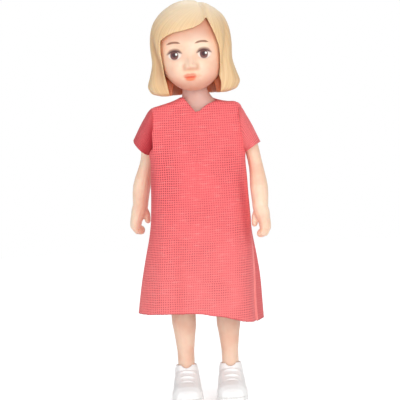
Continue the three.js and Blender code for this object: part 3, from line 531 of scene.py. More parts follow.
@dataclass(frozen=True)
class FacePaint(SoftVinyl):
    """Vinyl of the head with its painted face, laid out in millimetres from the chin."""

    pivot: Pivot = field(default_factory=lambda: Pivot(Vector(), 0.0))
    middle: float = -0.4
    eyes: tuple[tuple[float, float], ...] = ((-4.65, 10.1), (3.55, 9.95))
    eye_width: float = 3.5
    eye_height: float = 2.5
    iris_radius: float = 1.12
    cheeks: tuple[float, float] = (6.3, 3.7)
    wing_shade_places: tuple[float, float] = (1.9, 6.5)
    lips: tuple[float, float] = (-0.8, 3.75)
    lip_spacing: float = 0.58
    white: Colour = srgb(242, 224, 216)
    lid: Colour = srgb(206, 150, 128)
    lower_lid: Colour = srgb(190, 130, 110)
    iris: Colour = srgb(104, 54, 56)
    iris_top: Colour = srgb(150, 96, 84)
    pupil: Colour = srgb(62, 22, 30)
    lash: Colour = srgb(120, 76, 66)
    brow: Colour = srgb(142, 94, 70)
    lip: Colour = srgb(244, 128, 90)
    upper_lip: Colour = srgb(226, 138, 112)
    lip_dark: Colour = srgb(224, 92, 68)
    lip_rim: Colour = srgb(255, 190, 150)
    # Colours of painted shadow below the nose and painted shade beside its wings.
    painted_nose_shadow: Colour = srgb(206, 144, 108)
    painted_wing_shade: Colour = srgb(216, 154, 118)
    blush: Colour = srgb(240, 170, 146)
    # Colours of painted shade round the face's rim, under the chin and on the forehead below the
    # fringe.
    painted_rim_shade: Colour = srgb(226, 158, 132)
    chin: Colour = srgb(208, 149, 127)
    painted_forehead_shade: Colour = srgb(214, 166, 144)

    def build(self) -> bpy.types.Material:
        """Makes the material, paint laid over the vinyl from the skin outwards.

        Returns:
            The material.
        """
        recipe = Recipe(self.name)
        colour, normal = self.surface(recipe)
        place = recipe.place(turn=Vector((0, self.pivot.lean, 0)), shift=self.pivot.inverse_shift())
        brush = Brush(recipe, place, colour)
        self.tint(brush)
        self.paint_nose(brush)
        self.paint_mouth(brush)
        for eye, side in zip(self.eyes, (-1, 1)):
            self.paint_eye(brush, eye, side)
        return self.settle(recipe, brush.colour, normal)

    def tint(self, brush: Brush) -> None:
        """Lays painted shade under the chin, on the forehead below the fringe and round the face's
        rim, and lays the blush.

        Args:
            brush: the face so far.
        """
        recipe = brush.recipe
        # Painted shade under the chin, on the forehead below the fringe and round the face's rim.
        brush.lay(recipe.span(brush.z, 4.8, 1.0, 0.0, 0.9), self.chin)
        brush.lay(recipe.span(brush.z, 12.2, 16.5, 0.0, 0.85), self.painted_forehead_shade)
        inner = brush.oval(self.middle, 9.0, 8.6, 9.4, 0.42)
        painted_rim_shade = recipe.math("SUBTRACT", brush.front, inner)
        brush.lay(recipe.math("MULTIPLY", painted_rim_shade, 0.7, hold=True), self.painted_rim_shade)
        out, up = self.cheeks
        for side in (-1, 1):
            brush.lay(brush.oval(self.middle + side * out, up, 3.3, 3.0, 0.85), self.blush, 0.45)

    def paint_nose(self, brush: Brush) -> None:
        """Lays painted shadow below the nose and painted shade beside its wings.

        Args:
            brush: the face so far.
        """
        brush.lay(brush.oval(self.middle, 5.8, 2.0, 0.45, 0.8), self.painted_nose_shadow, 0.55)
        out, up = self.wing_shade_places
        for side in (-1, 1):
            brush.lay(brush.oval(self.middle + side * out, up, 0.55, 0.95, 0.9), self.painted_wing_shade, 0.5)

    def paint_mouth(self, brush: Brush) -> None:
        """Paints both lips and the line between them.

        Args:
            brush: the face so far.
        """
        x, z = self.lips
        brush.lay(brush.oval(x, z + 0.9, 2.6, 1.1, 0.6), self.lip_rim, 0.35)
        bows = [
            brush.oval(x + out, z + 0.38, 1.1, 0.62, 0.4)
            for out in (-self.lip_spacing, self.lip_spacing)
        ]
        brush.lay(brush.recipe.math("MAXIMUM", *bows), self.upper_lip, 0.85)
        brush.lay(brush.oval(x, z - 0.42, 1.32, 0.62, 0.4), self.lip, 0.9)
        brush.lay(brush.arc(x, z - 0.02, 1.75, 0.05, 0.0, 0.16, 0.16), self.lip_dark, 0.75)

    def paint_eye(self, brush: Brush, eye: tuple[float, float], side: int) -> None:
        """Paints one eye with its lashes and its brow.

        Args:
            brush: the face so far.
            eye: middle of the eye.
            side: -1 for the doll's right side, 1 for its left.
        """
        x, z = eye
        half, tall = self.eye_width / 2, self.eye_height / 2
        brush.lay(brush.oval(x, z, half + 0.5, tall + 0.45, 0.4), self.lid, 0.25)
        white = brush.oval(x, z - 0.05, half, tall, 0.22)
        brush.lay(white, self.white)
        iris_x, iris_z, radius = x - 0.12, z - 0.05, self.iris_radius
        iris = brush.oval(iris_x, iris_z, radius, radius + 0.2, 0.14)
        brush.lay(brush.recipe.math("MULTIPLY", iris, white), self.iris)
        brush.lay(brush.oval(iris_x, iris_z - 0.62, 0.8, 0.5, 0.5), self.iris_top, 0.5)
        brush.lay(brush.oval(iris_x, iris_z + 0.1, 0.62, 0.72, 0.35), self.pupil)
        brush.lay(brush.oval(iris_x + 0.58, iris_z + 0.22, 0.27, 0.32, 0.35), WHITE)
        slope = -0.06 * side
        brush.lay(brush.arc(x - 0.05, z + 1.22, 2.15, 0.85, slope, 0.5, 0.42), self.lash, 0.8)
        brush.lay(brush.arc(x - 0.05, z + 1.12, 2.0, 0.9, slope, 0.2, 0.14), self.pupil, 0.8)
        brush.lay(brush.arc(x, z - 1.4, 1.6, -0.55, 0.0, 0.07, 0.12), self.lower_lid, 0.35)
        brow_x = x - 0.15 - 0.35 * (side > 0)
        brush.lay(brush.arc(brow_x, z + 3.45, 1.95, 0.4, 0.05, 0.28, 0.16), self.brow, 0.95)


@dataclass(frozen=True)
class MouldedHair:
    """Satin plastic hair with combed strands, read from the strand and shade attributes."""

    name: str
    light: Colour = srgb(243, 214, 170)
    colour: Colour = srgb(231, 197, 150)
    dark: Colour = srgb(210, 166, 122)
    inner: Colour = srgb(222, 120, 72)
    # Colour of painted shade in the valley between the fringe and the lock.
    valley: Colour = srgb(186, 138, 100)
    # Colour of painted light on the top of the hair.
    crown: Colour = srgb(255, 238, 210)
    streaks_per_strand: float = 30.0
    top_light_heights: tuple[float, float] = (102.0, 111.0)
    streak_height: float = 0.06 * MM
    grain_height: float = 0.01 * MM

    def build(self) -> bpy.types.Material:
        """Makes the material.

        Returns:
            The material.
        """
        recipe = Recipe(self.name)
        strand = recipe.attribute("strand")
        shade = recipe.attribute("shade")
        _, _, z = recipe.parts(recipe.place())
        join = recipe.add("ShaderNodeCombineXYZ")
        recipe.join(recipe.math("MULTIPLY", strand, self.streaks_per_strand), join.inputs[0])
        recipe.join(recipe.math("MULTIPLY", z, 0.05), join.inputs[1])
        streaks = recipe.grain(join.outputs[0], 1.0, 4.0, 0.6)
        colour = recipe.blend(recipe.span(streaks, 0.36, 0.66, 0.0, 1.0), self.dark, self.light)
        colour = recipe.blend(0.62, colour, self.colour)
        # Painted light: the hair is paler towards its top, where the light falls.
        colour = recipe.blend(recipe.span(z, *self.top_light_heights, 0.0, 0.65), colour, self.crown)
        # Painted shade in the valley between the fringe and the lock.
        colour = recipe.blend(recipe.attribute("dip"), colour, self.valley)
        colour = recipe.blend(shade, colour, self.inner)
        normal = recipe.relief(streaks, self.streak_height)
        normal = recipe.relief(recipe.grain(recipe.place(), 3.0), self.grain_height, normal=normal)
        return recipe.finish(
            Base_Color=colour,
            Normal=normal,
            Roughness=recipe.span(streaks, 0.3, 0.7, 0.48, 0.36),
            Subsurface_Weight=0.2,
            Subsurface_Radius=(1.0, 0.55, 0.22),
            Subsurface_Scale=1.2 * MM,
            IOR=1.45,
        )


@dataclass(frozen=True)
class PlainWeave:
    """Plain woven cotton, its threads counted on the piece's UV map in millimetres."""

    name: str
    colour: Colour = srgb(251, 117, 120)
    # Colours of painted shade where the threads dip and in the holes between them.
    valley: Colour = srgb(234, 88, 96)
    gap: Colour = srgb(140, 18, 40)
    # Colour of painted shade in folds, along the hem's edge and on the shaded sleeve.
    fold: Colour = srgb(178, 34, 46)
    light: Colour = srgb(255, 164, 160)
    pitch: float = 0.65
    wobble: float = 0.7
    pale_heights: tuple[float, float] = (62.0, 26.0)
    thread_height: float = 0.09 * MM

    def build(self) -> bpy.types.Material:
        """Makes the material from the thread count and the cloth's own attributes.

        The attribute shade lays painted shade in folds, open spreads the threads apart and
        painted_light lays painted light, with the pale raw edge of the side seam.

        Returns:
            The material.
        """
        recipe = Recipe(self.name)
        uv = recipe.add("ShaderNodeUVMap").outputs[0]
        u, v, _ = recipe.parts(uv)
        wobble = recipe.math("SUBTRACT", recipe.grain(uv, 0.3), 0.5)
        wobble = recipe.math("MULTIPLY", wobble, self.wobble)
        warp = recipe.math("ADD", recipe.math("DIVIDE", u, self.pitch), wobble)
        weft = recipe.math("ADD", recipe.math("DIVIDE", v, self.pitch), wobble)

        def crown(count: bpy.types.NodeSocket) -> bpy.types.NodeSocket:
            """Round top of a thread by its count."""
            turn = recipe.math("MULTIPLY", recipe.math("FRACT", count), math.pi)
            return recipe.math("SINE", turn)

        over = recipe.math("ADD", recipe.math("FLOOR", warp), recipe.math("FLOOR", weft))
        odd = recipe.math("MODULO", recipe.math("ABSOLUTE", over), 2.0)
        up, cross = crown(warp), crown(weft)

        def thread(top: bpy.types.NodeSocket, run: bpy.types.NodeSocket) -> bpy.types.NodeSocket:
            """Height of a thread that dips at both ends of each crossing."""
            dip = recipe.math("ADD", recipe.math("MULTIPLY", run, 0.6), 0.4)
            return recipe.math("MULTIPLY", top, dip)

        height = recipe.add("ShaderNodeMix", data_type="FLOAT")
        recipe.put(height.inputs[0], odd)
        recipe.put(height.inputs[2], thread(up, cross))
        recipe.put(height.inputs[3], thread(cross, up))
        weave = height.outputs[0]
        holes = recipe.span(recipe.math("MAXIMUM", up, cross), 0.5, 0.86, 1.0, 0.0)
        loose = recipe.span(recipe.grain(uv, 0.09, 2.0), 0.4, 0.62, 0.12, 0.5)
        apart = recipe.attribute("open")
        closed = recipe.math("MINIMUM", apart, 0.0)
        loose = recipe.math("ADD", recipe.math("MAXIMUM", loose, apart), closed, hold=True)
        slub_join = recipe.add("ShaderNodeCombineXYZ")
        recipe.join(recipe.math("MULTIPLY", u, 0.3), slub_join.inputs[0])
        recipe.join(recipe.math("MULTIPLY", v, 1.6), slub_join.inputs[1])
        slub = recipe.grain(slub_join.outputs[0], 1.0, 3.0)
        # Painted shade where the threads dip between their crowns.
        colour = recipe.blend(recipe.span(weave, 0.1, 0.6, 0.0, 1.0), self.valley, self.colour)
        colour = recipe.blend(recipe.span(slub, 0.5, 0.85, 0.0, 0.5), colour, self.light)
        _, _, z = recipe.parts(recipe.place())
        # Painted light: the cloth is made paler towards the hem.
        colour = recipe.blend(recipe.span(z, *self.pale_heights, 0.0, 0.22), colour, self.light)
        shade = recipe.math("MULTIPLY", recipe.attribute("shade"), 0.8)
        # Painted shade from the shade attribute: folds, the hem's edge and the shaded sleeve.
        colour = recipe.blend(shade, colour, self.fold)
        # Painted shade seen in the holes where the threads stand apart.
        colour = recipe.blend(recipe.math("MULTIPLY", holes, loose), colour, self.gap)
        # Painted light: the lit left sleeve made paler, and a pale strip along the side seam that
        # is also its pale raw edge.
        painted_light = recipe.math("MULTIPLY", recipe.attribute("painted_light"), 0.6, hold=True)
        colour = recipe.blend(painted_light, colour, self.light)
        return recipe.finish(
            Base_Color=colour,
            Normal=recipe.relief(weave, self.thread_height),
            Roughness=0.9,
            Sheen_Weight=0.08,
            Sheen_Roughness=0.5,
            Sheen_Tint=(1.0, 0.6, 0.6, 1.0),
        )


@dataclass(frozen=True)
class FloorFinish:
    """Pale floor that shows white to the camera and keeps the object's shadow."""

    name: str = "pale_floor"
    colour: Colour = (0.9, 0.9, 0.9)
    light: Colour = (0.92, 0.92, 0.92)
    lift: float = 0.38

    def build(self) -> bpy.types.Material:
        """Makes the material.

        Returns:
            The material.
        """
        recipe = Recipe(self.name)
        path = recipe.add("ShaderNodeLightPath")
        seen = recipe.math("MAXIMUM", path.outputs["Is Camera Ray"], path.outputs["Is Glossy Ray"])
        seen = recipe.math("MAXIMUM", seen, path.outputs["Is Transmission Ray"])
        cloud = recipe.grain(recipe.place(), 0.01)
        colour = recipe.blend(cloud, self.colour, self.light)
        recipe.finish(Base_Color=colour, Roughness=0.9, Emission_Color=(*WHITE, 1.0))
        lifted = recipe.math("MULTIPLY", seen, self.lift)
        recipe.put(recipe.shader.inputs["Emission Strength"], lifted)
        return recipe.material


def new_object(
    name: str, mesh: bpy.types.Mesh, material: bpy.types.Material
) -> bpy.types.Object:
    """Puts a mesh with one material into the scene.

    Args:
        name: name of the piece.
        mesh: its mesh.
        material: its material.

    Returns:
        The object, at the origin.
    """
    piece = bpy.data.objects.new(name, mesh)
    bpy.context.scene.collection.objects.link(piece)
    mesh.materials.clear()
    mesh.materials.append(material)
    mesh.polygons.foreach_set("use_smooth", [True] * len(mesh.polygons))
    return piece


def mesh_from(bm: bmesh.types.BMesh, name: str) -> bpy.types.Mesh:
    """Turns a bmesh into a mesh and frees it.

    Args:
        bm: shape to keep.
        name: name of the mesh.

    Returns:
        The mesh.
    """
    mesh = bpy.data.meshes.new(name)
    bm.to_mesh(mesh)
    bm.free()
    return mesh


def settle(piece: bpy.types.Object) -> bpy.types.Object:
    """Applies a piece's modifiers to its mesh.

    Args:
        piece: object with live modifiers.

    Returns:
        The same object without them.
    """
    bpy.context.view_layer.update()
    graph = bpy.context.evaluated_depsgraph_get()
    old = piece.data
    piece.data = bpy.data.meshes.new_from_object(piece.evaluated_get(graph))
    piece.modifiers.clear()
    bpy.data.meshes.remove(old)
    return piece


def remould(piece: bpy.types.Object, voxel: float, softness: int) -> bpy.types.Object:
    """Gives a piece one even, softly rounded skin, as a moulding has.

    Args:
        piece: closed piece or overlapping closed pieces in one mesh.
        voxel: size of the new facets in metres.
        softness: rounds of smoothing.

    Returns:
        The same object with its new mesh.
    """
    remesh = piece.modifiers.new("remesh", "REMESH")
    remesh.mode = "VOXEL"
    remesh.voxel_size = voxel
    remesh.use_smooth_shade = True
    if softness:
        relax = piece.modifiers.new("relax", "LAPLACIANSMOOTH")
        relax.iterations = softness
        relax.lambda_factor = 1.0
        relax.lambda_border = 1.0
        relax.use_volume_preserve = True
    return settle(piece)


def moulded_copy(
    node: str, name: str, material: bpy.types.Material, voxel: float, softness: int
) -> bpy.types.Object:
    """Copies a CAD node as a softly rounded moulding, which replaces it.

    Args:
        node: name of the CAD node.
        name: name of the new piece.
        material: its material.
        voxel: size of its facets in metres.
        softness: rounds of smoothing.

    Returns:
        The new piece.
    """
    bm = bmesh.new()
    bm.from_mesh(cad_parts[node].data)
    bmesh.ops.remove_doubles(bm, verts=bm.verts, dist=MERGE)
    piece = new_object(name, mesh_from(bm, name), material)
    remould(piece, voxel, softness)
    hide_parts(node)
    return piece


def finish_node(node: bpy.types.Object, material: bpy.types.Material) -> None:
    """Dresses a CAD node whose shape stays as it is."""
    for slot in node.material_slots:
        slot.material = material


def globe(columns: int, rows: int, move: Callable[[Vector], Vector]) -> bmesh.types.BMesh:
    """Ball of unit radius whose points are moved one by one.

    Args:
        columns: points round the ball.
        rows: points from pole to pole.
        move: new place of each point of the unit ball.

    Returns:
        The shaped bmesh.
    """
    bm = bmesh.new()
    bmesh.ops.create_uvsphere(bm, u_segments=columns, v_segments=rows, radius=1.0)
    for vertex in bm.verts:
        vertex.co = move(vertex.co.copy())
    bmesh.ops.recalc_face_normals(bm, faces=bm.faces)
    return bm


@dataclass
class Head:
    """Vinyl head with its painted face."""

    paint: FacePaint
    height: float = 23.4
    width: float = 18.8
    face_depth: float = 8.8
    skull_depth: float = 9.4
    nose_height: float = 6.9
    nose_length: float = 2.1
    mouth_height: float = 3.75
    eye_height: float = 10.3
    eye_spacing: float = 8.1
    face_turn: float = -0.4
    neck_clearance: float = 1.15
    neck_reach: tuple[float, float] = (5.0, 4.3)
    roundness: float = 0.92
    columns: int = 288
    rows: int = 200

    def widths(self) -> Pairs:
        """Half widths by height above the chin.

        Returns:
            Heights in millimetres, each with its half width.
        """
        half = self.width / 2
        return (
            (0, 1.6), (0.5, 3), (1.2, 4.4), (2.4, 5.9), (4.4, 7.5), (7, 8.7),
            (10.2, half - 0.1), (13.5, half), (17.5, half - 0.9), (20.5, half - 3),
            (22.4, half - 5.6), (self.height, 1.2),
        )

    def fronts(self) -> Pairs:
        """Reach of the face forwards by height.

        Returns:
            Heights above the chin in millimetres, each with its reach.
        """
        deep = self.face_depth
        return (
            (0, deep - 1.9), (1.2, deep - 0.9), (4.4, deep - 0.2), (10.2, deep),
            (14, deep + 0.3), (17.5, deep - 0.4), (20.5, deep - 2.6), (22.4, deep - 5.2),
            (self.height, 1.2),
        )

    def backs(self) -> Pairs:
        """Reach of the skull backwards by height.

        Returns:
            Heights above the chin in millimetres, each with its reach.
        """
        deep = self.skull_depth
        return (
            (0, -5.2), (0.6, -3), (1.2, 2.4), (2.4, 4.8), (4.4, 6.8), (7, 8.4),
            (10.2, deep - 0.2), (14, deep), (17.5, deep - 0.7), (20.5, deep - 2.9),
            (22.4, deep - 5.4), (self.height, 1.2),
        )

    def relief(self, x: float, z: float) -> float:
        """How far the face stands out: nose, lips, chin, cheeks and eye hollows.

        Args:
            x: place across the face.
            z: height above the chin.

        Returns:
            Millimetres forwards.
        """
        x = x - self.face_turn
        aside, eye = abs(x), abs(x) - self.eye_spacing / 2
        nose_up, mouth_up, eye_up = z - self.nose_height, z - self.mouth_height, z - self.eye_height
        above, below = max(nose_up, 0), max(-nose_up, 0)
        bridge = bump(x, 1.05 + 0.06 * above) * bump(above, 2.7) * bump(below, 0.85)
        nose = self.nose_length * bridge
        wings = 0.75 * bump(nose_up + 0.3, 0.7) * bump(aside - 1.35, 0.55)
        upper = 0.5 * bump(mouth_up - 0.5, 0.48) * bump(x, 1.6)
        lower = 0.6 * bump(mouth_up + 0.55, 0.5) * bump(x, 1.35)
        parting = -0.3 * bump(mouth_up, 0.18) * bump(x, 1.9)
        corners = -0.35 * bump(aside - 2.1, 0.6) * bump(mouth_up, 0.7)
        chin = 0.55 * bump(z - 1.3, 1.1) * bump(x, 2.1)
        cheeks = 0.5 * bump(z - 5.6, 2.4) * bump(aside - 4.6, 2.2)
        hollows = -0.55 * bump(eye_up, 1.9) * bump(eye, 2.1)
        lids = 0.22 * bump(eye_up - 1.5, 0.35) * bump(eye, 1.5)
        return nose + wings + upper + lower + parting + corners + chin + cheeks + hollows + lids

    def build(self) -> bpy.types.Object:
        """Makes the head.

        Returns:
            The head, which rides on its own body.
        """
        place = self.paint.pivot.matrix()
        widths, fronts, backs = self.widths(), self.fronts(), self.backs()

        def move(unit: Vector) -> Vector:
            """Place of a point of the unit ball on the head, hollow over the neck.

            Args:
                unit: point of the unit ball.

            Returns:
                Its place in the row frame, in metres.
            """
            z = self.height * (unit.z + 1) / 2
            angle = math.atan2(unit.x, -unit.y)
            half, front, back = along(widths, z), along(fronts, z), along(backs, z)
            middle, deep = (back - front) / 2, (front + back) / 2
            forward = math.cos(angle)
            x = half * swell(math.sin(angle), self.roundness)
            y = middle - deep * swell(forward, self.roundness)
            out = self.relief(x, z) * smooth(0.0, 0.5, forward)
            over_neck = smooth(*self.neck_reach, math.hypot(x, y))
            z = mix(z, max(z, self.neck_clearance), over_neck)
            spread = 1.0 if abs(unit.z) < POLE else 0.0
            return place @ Vector((x * spread, mix(middle, y - out, spread), z))

        bm = globe(self.columns, self.rows, move)
        piece = new_object("head_vinyl", mesh_from(bm, "head_vinyl"), self.paint.build())
        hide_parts("head")
        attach(piece, "head")
        return piece


@dataclass
class Hair:
    """Moulded bob: an outer form, hollowed for the head, the face and the neck."""

    finish: MouldedHair
    head: Head
    top: float = 25.2
    bottom: float = -1.1
    half: float = 12.0
    flare: float = 1.0
    front: float = 10.4
    back: float = 12.2
    parting: float = 4.6
    voxel: float = 0.24 * MM
    softness: int = 2
    columns: int = 220
    rows: int = 160
    roundness: float = 0.95
    skull_clearance: float = 0.16
    room_low: float = 7.6
    room_high: float = 5.2
    room_height: float = 12.0
    hang_height: float = 13.0
    hang_turn: float = 2.2
    outline: Pairs = (
        (-6.6, -3), (-7.1, 0.2), (-7.4, 2.2), (-7.9, 4.6), (-8.2, 8), (-8.5, 11), (-8.35, 14.3),
        (-6.6, 15.5), (-4.6, 16.25), (-1.6, 16.7), (1.2, 17.3), (3.0, 18.1), (4.1, 19.0),
        (4.8, 20.0), (5.8, 17.8), (6.9, 14.9), (7.7, 12), (7.85, 9.7), (7.6, 6), (7.2, 3.6),
        (7.6, 1.6), (7.0, -3),
    )
    strand_pole: Vector = field(default_factory=lambda: Vector((4.8, -4.4, 23.4)))
    centre: Vector = field(default_factory=lambda: Vector((0, 1, 11)))

    def widths(self) -> Pairs:
        """Half widths by height above the chin.

        Returns:
            Heights in millimetres, each with its half width.
        """
        half, low = self.half, self.bottom
        return (
            (low, half - 3.0), (low + 0.7, half - 0.5), (0.7, half + 0.5),
            (2.0, half + self.flare * 0.85), (4.5, half + 0.1), (8, half - 0.75),
            (12.5, half - 0.6), (16.5, half - 0.95), (19.5, half - 2.0), (22, half - 4.1),
            (23.8, half - 6.7), (24.8, half - 9.2), (self.top, 0.8),
        )

    def fronts(self) -> Pairs:
        """Reach forwards by height.

        Returns:
            Heights above the chin in millimetres, each with its reach.
        """
        front = self.front
        return (
            (self.bottom, front - 5.6), (2, front - 4.6), (8, front - 2.4), (13, front - 0.4),
            (17, front), (19.5, front - 1), (22, front - 3), (23.8, front - 5.2),
            (24.8, front - 7.6), (self.top, 0.8),
        )

    def backs(self) -> Pairs:
        """Reach backwards by height.

        Returns:
            Heights above the chin in millimetres, each with its reach.
        """
        back = self.back
        return (
            (self.bottom, back - 2.2), (self.bottom + 0.9, back - 0.8), (2, back - 0.4),
            (8, back - 0.3), (13, back), (17, back - 0.8), (20, back - 2.4), (22, back - 4.2),
            (23.8, back - 6.9), (24.8, back - 9.3), (self.top, 0.8),
        )

    def strand(self, p: Vector) -> float:
        """Number that stays the same along a strand.

        Strands fan out from the parting and then hang straight.

        Args:
            p: place on the form, in the head's own millimetres.

        Returns:
            The strand's number, an angle in radians.
        """
        pole = (self.strand_pole - self.centre).normalized()
        side = pole.cross(Vector((0, 0, 1))).normalized()
        up = side.cross(pole)
        above = (p.z - self.hang_height) / self.hang_turn
        level = self.hang_height + self.hang_turn * math.log1p(math.exp(above))
        way = Vector((p.x, p.y, level)) - self.centre
        return math.atan2(way.dot(side), way.dot(up))

    def waves(self, p: Vector) -> float:
        """How far combed locks stand out at a place on the outer form.

        Args:
            p: place on the form, in the head's own millimetres.

        Returns:
            Millimetres outwards.
        """
        lane = self.strand(p)
        fine = noise.noise(Vector((lane * 22, p.z * 0.05, 3.0)))
        coarse = noise.noise(Vector((lane * 6.5, p.z * 0.04, 8.0)))
        ends = mix(1.0, 0.45, smooth(2, 16, p.z))
        azimuth = math.degrees(math.atan2(p.x, -p.y))
        beside_lock = -0.9 * bump(azimuth - 62 - (p.z - 8) * 0.7, 6) * smooth(22, 15, p.z)
        lock = 0.7 * bump(azimuth - 44, 12) * smooth(20, 8, p.z)
        beside_fringe = -0.7 * self.dip(p)
        beside_fringe -= 0.35 * bump(azimuth + 86, 5) * smooth(15, 7, p.z)
        from_parting = p.x - self.parting + 0.25 * (p.y + 6)
        groove = -0.85 * bump(from_parting, 0.75) * smooth(17.5, 19.5, p.z)
        groove *= smooth(4, -2, p.y)
        strands = (0.16 * fine + 0.32 * coarse) * ends
        return strands + beside_lock + lock + beside_fringe + groove

    @staticmethod
    def dip(p: Vector) -> float:
        """Share of the valley between the fringe and the lock of the right side."""
        aside = math.degrees(math.atan2(p.x, -p.y)) + 67 + (p.z - 9) * 0.5
        return bump(aside, 6) * smooth(17.5, 12, p.z) * smooth(-1, 6, p.z)

    def form(self) -> bmesh.types.BMesh:
        """Closed outer form of the bob.

        Returns:
            The form, in the head's own millimetres.
        """
        widths, fronts, backs = self.widths(), self.fronts(), self.backs()
        tall = self.top - self.bottom

        def move(unit: Vector) -> Vector:
            """Place of a point of the unit ball on the bob.

            Args:
                unit: point of the unit ball.

            Returns:
                Its place on the head's own axes, in millimetres.
            """
            z = self.bottom + tall * (unit.z + 1) / 2
            angle = math.atan2(unit.y, unit.x)
            c, s = math.cos(angle), math.sin(angle)
            half, reach = along(widths, z), along(fronts if s < 0 else backs, z)
            spread = 1.0 if abs(unit.z) < POLE else 0.0
            x = half * swell(c, self.roundness) * spread
            y = reach * swell(s, self.roundness) * spread
            p = Vector((x, y, z))
            out = (p - self.centre).normalized()
            return p + out * self.waves(p)

        return globe(self.columns, self.rows, move)

    def opening(self) -> bmesh.types.BMesh:
        """Prism through the face opening: hairline, fringe and parting seen from the front.

        Returns:
            The prism, in the head's own millimetres.
        """
        bm = bmesh.new()
        ring = [bm.verts.new((x, 0.4, z)) for x, z in self.outline]
        face = bm.faces.new(ring)
        grown = bmesh.ops.extrude_face_region(bm, geom=[face])
        moved = [item for item in grown["geom"] if isinstance(item, bmesh.types.BMVert)]
        bmesh.ops.translate(bm, verts=moved, vec=(0, -22, 0))
        bmesh.ops.recalc_face_normals(bm, faces=bm.faces)
        return bm

    def skull(self) -> bmesh.types.BMesh:
        """Room for the head, with a clearance.

        Returns:
            The room's form, in the head's own millimetres.
        """
        head, clear = self.head, self.skull_clearance
        widths, fronts, backs = head.widths(), head.fronts(), head.backs()

        def move(unit: Vector) -> Vector:
            """Place of a point of the unit ball on the room's wall.

            Args:
                unit: point of the unit ball.

            Returns:
                Its place on the head's own axes, in millimetres.
            """
            z = head.height * (unit.z + 1) / 2
            angle = math.atan2(unit.x, -unit.y)
            half, front, back = (along(pairs, z) + clear for pairs in (widths, fronts, backs))
            spread = 1.0 if abs(unit.z) < POLE else 0.0
            middle, deep = (back - front) / 2, (front + back) / 2
            x = half * math.sin(angle) * spread
            y = middle - deep * math.cos(angle) * spread
            return Vector((x, y, z + clear * unit.z))

        return globe(96, 72, move)

    def neck_room(self) -> bmesh.types.BMesh:
        """Round room for the neck, inside the bob's ends.

        Returns:
            The room's form, in the head's own millimetres.
        """
        bm = bmesh.new()
        bmesh.ops.create_cone(
            bm, cap_ends=True, segments=64,
            radius1=self.room_low, radius2=self.room_high, depth=self.room_height,
        )
        bmesh.ops.translate(bm, verts=bm.verts, vec=(0, 0.6, -1.5))
        return bm

    def build(self) -> bpy.types.Object:
        """Makes the hair.

        Returns:
            The hair, which rides on the head.
        """
        name = "hair_moulding"
        piece = new_object(name, mesh_from(self.form(), name), self.finish.build())
        plastic = piece.data.materials[0]
        rooms = (("face", self.opening()), ("skull", self.skull()), ("neck", self.neck_room()))
        cutters = []
        for label, bm in rooms:
            cutter = new_object("cut_" + label, mesh_from(bm, "cut_" + label), plastic)
            cutters.append(cutter)
            cut = piece.modifiers.new(label, "BOOLEAN")
            cut.operation = "DIFFERENCE"
            cut.solver = "EXACT"
            cut.object = cutter
        piece.data.transform(Matrix.Scale(MM, 4))
        for cutter in cutters:
            cutter.data.transform(Matrix.Scale(MM, 4))
        settle(piece)
        for cutter in cutters:
            mesh = cutter.data
            bpy.data.objects.remove(cutter)
            bpy.data.meshes.remove(mesh)
        remould(piece, self.voxel, self.softness)
        self.mark(piece)
        piece.data.transform(self.head.paint.pivot.matrix() @ Matrix.Scale(1 / MM, 4))
        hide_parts("hair")
        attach(piece, "head")
        return piece

    def mark(self, piece: bpy.types.Object) -> None:
        """Stores each point's strand number, inner shade and the painted shade of the valley.

        Args:
            piece: the hair, still on its own axes.
        """
        mesh = piece.data
        strand = mesh.attributes.new("strand", "FLOAT", "POINT")
        shade = mesh.attributes.new("shade", "FLOAT", "POINT")
        dip = mesh.attributes.new("dip", "FLOAT", "POINT")
        widths, fronts, backs = self.widths(), self.fronts(), self.backs()
        for index, vertex in enumerate(mesh.vertices):
            p = vertex.co / MM
            half = along(widths, p.z)
            reach = along(fronts if p.y < 0 else backs, p.z)
            inside = 1 - math.hypot(p.x / half, p.y / reach)
            strand.data[index].value = self.strand(p)
            # Painted shade of the valley between the fringe and the lock.
            dip.data[index].value = 0.75 * self.dip(p)
            shade.data[index].value = 0.9 * smooth(0.12, 0.42, inside) * smooth(9, 4.5, p.z)


@dataclass(frozen=True)
class Fold:
    """Soft fold of the skirt that runs straight from a top place to a low place.

    Places are (x, z) in millimetres. A negative depth is a valley.
    """

    top: tuple[float, float]
    low: tuple[float, float]
    width: float
    depth: float

    def height(self, x: float, z: float) -> float:
        """How far the fold stands out at a place.

        Args:
            x: place across the dress.
            z: height above the soles.

        Returns:
            Millimetres outwards.
        """
        (x0, z0), (x1, z1) = self.top, self.low
        share = (z0 - z) / (z0 - z1)
        fade = smooth(-0.2, 0.45, share) * (1 - smooth(0.75, 1.3, share) * 0.85)
        middle = mix(x0, x1, clamp(share, -0.2, 1.2))
        wide = self.width * mix(0.7, 1.25, clamp(share))
        return self.depth * bump(x - middle, wide) * fade


@dataclass(frozen=True)
class Cut:
    """Size in metres and square metres that a sheet was cut to before it was sewn."""

    width: float
    length: float
    area: float


@dataclass(frozen=True)
class Opening:
    """Patch of the dress where the threads stand further apart, in millimetres."""

    x: float
    z: float
    width: float
    height: float
    share: float

    def reading(self, place: Vector) -> float:
        """How far apart the threads stand at a place, from 0 to the patch's share."""
        return self.share * bump(place.x - self.x, self.width) * bump(place.z - self.z, self.height)


@dataclass(frozen=True)
class SleeveSet:
    """How one sleeve ends and hangs.

    Ends are (x, z) in millimetres. The swing is how far its arm hangs back at rest, in degrees.
    """

    outer_end: tuple[float, float]
    inner_end: tuple[float, float]
    swing: float
    # How much painted light pales the whole sleeve.
    painted_light: float
    open: float


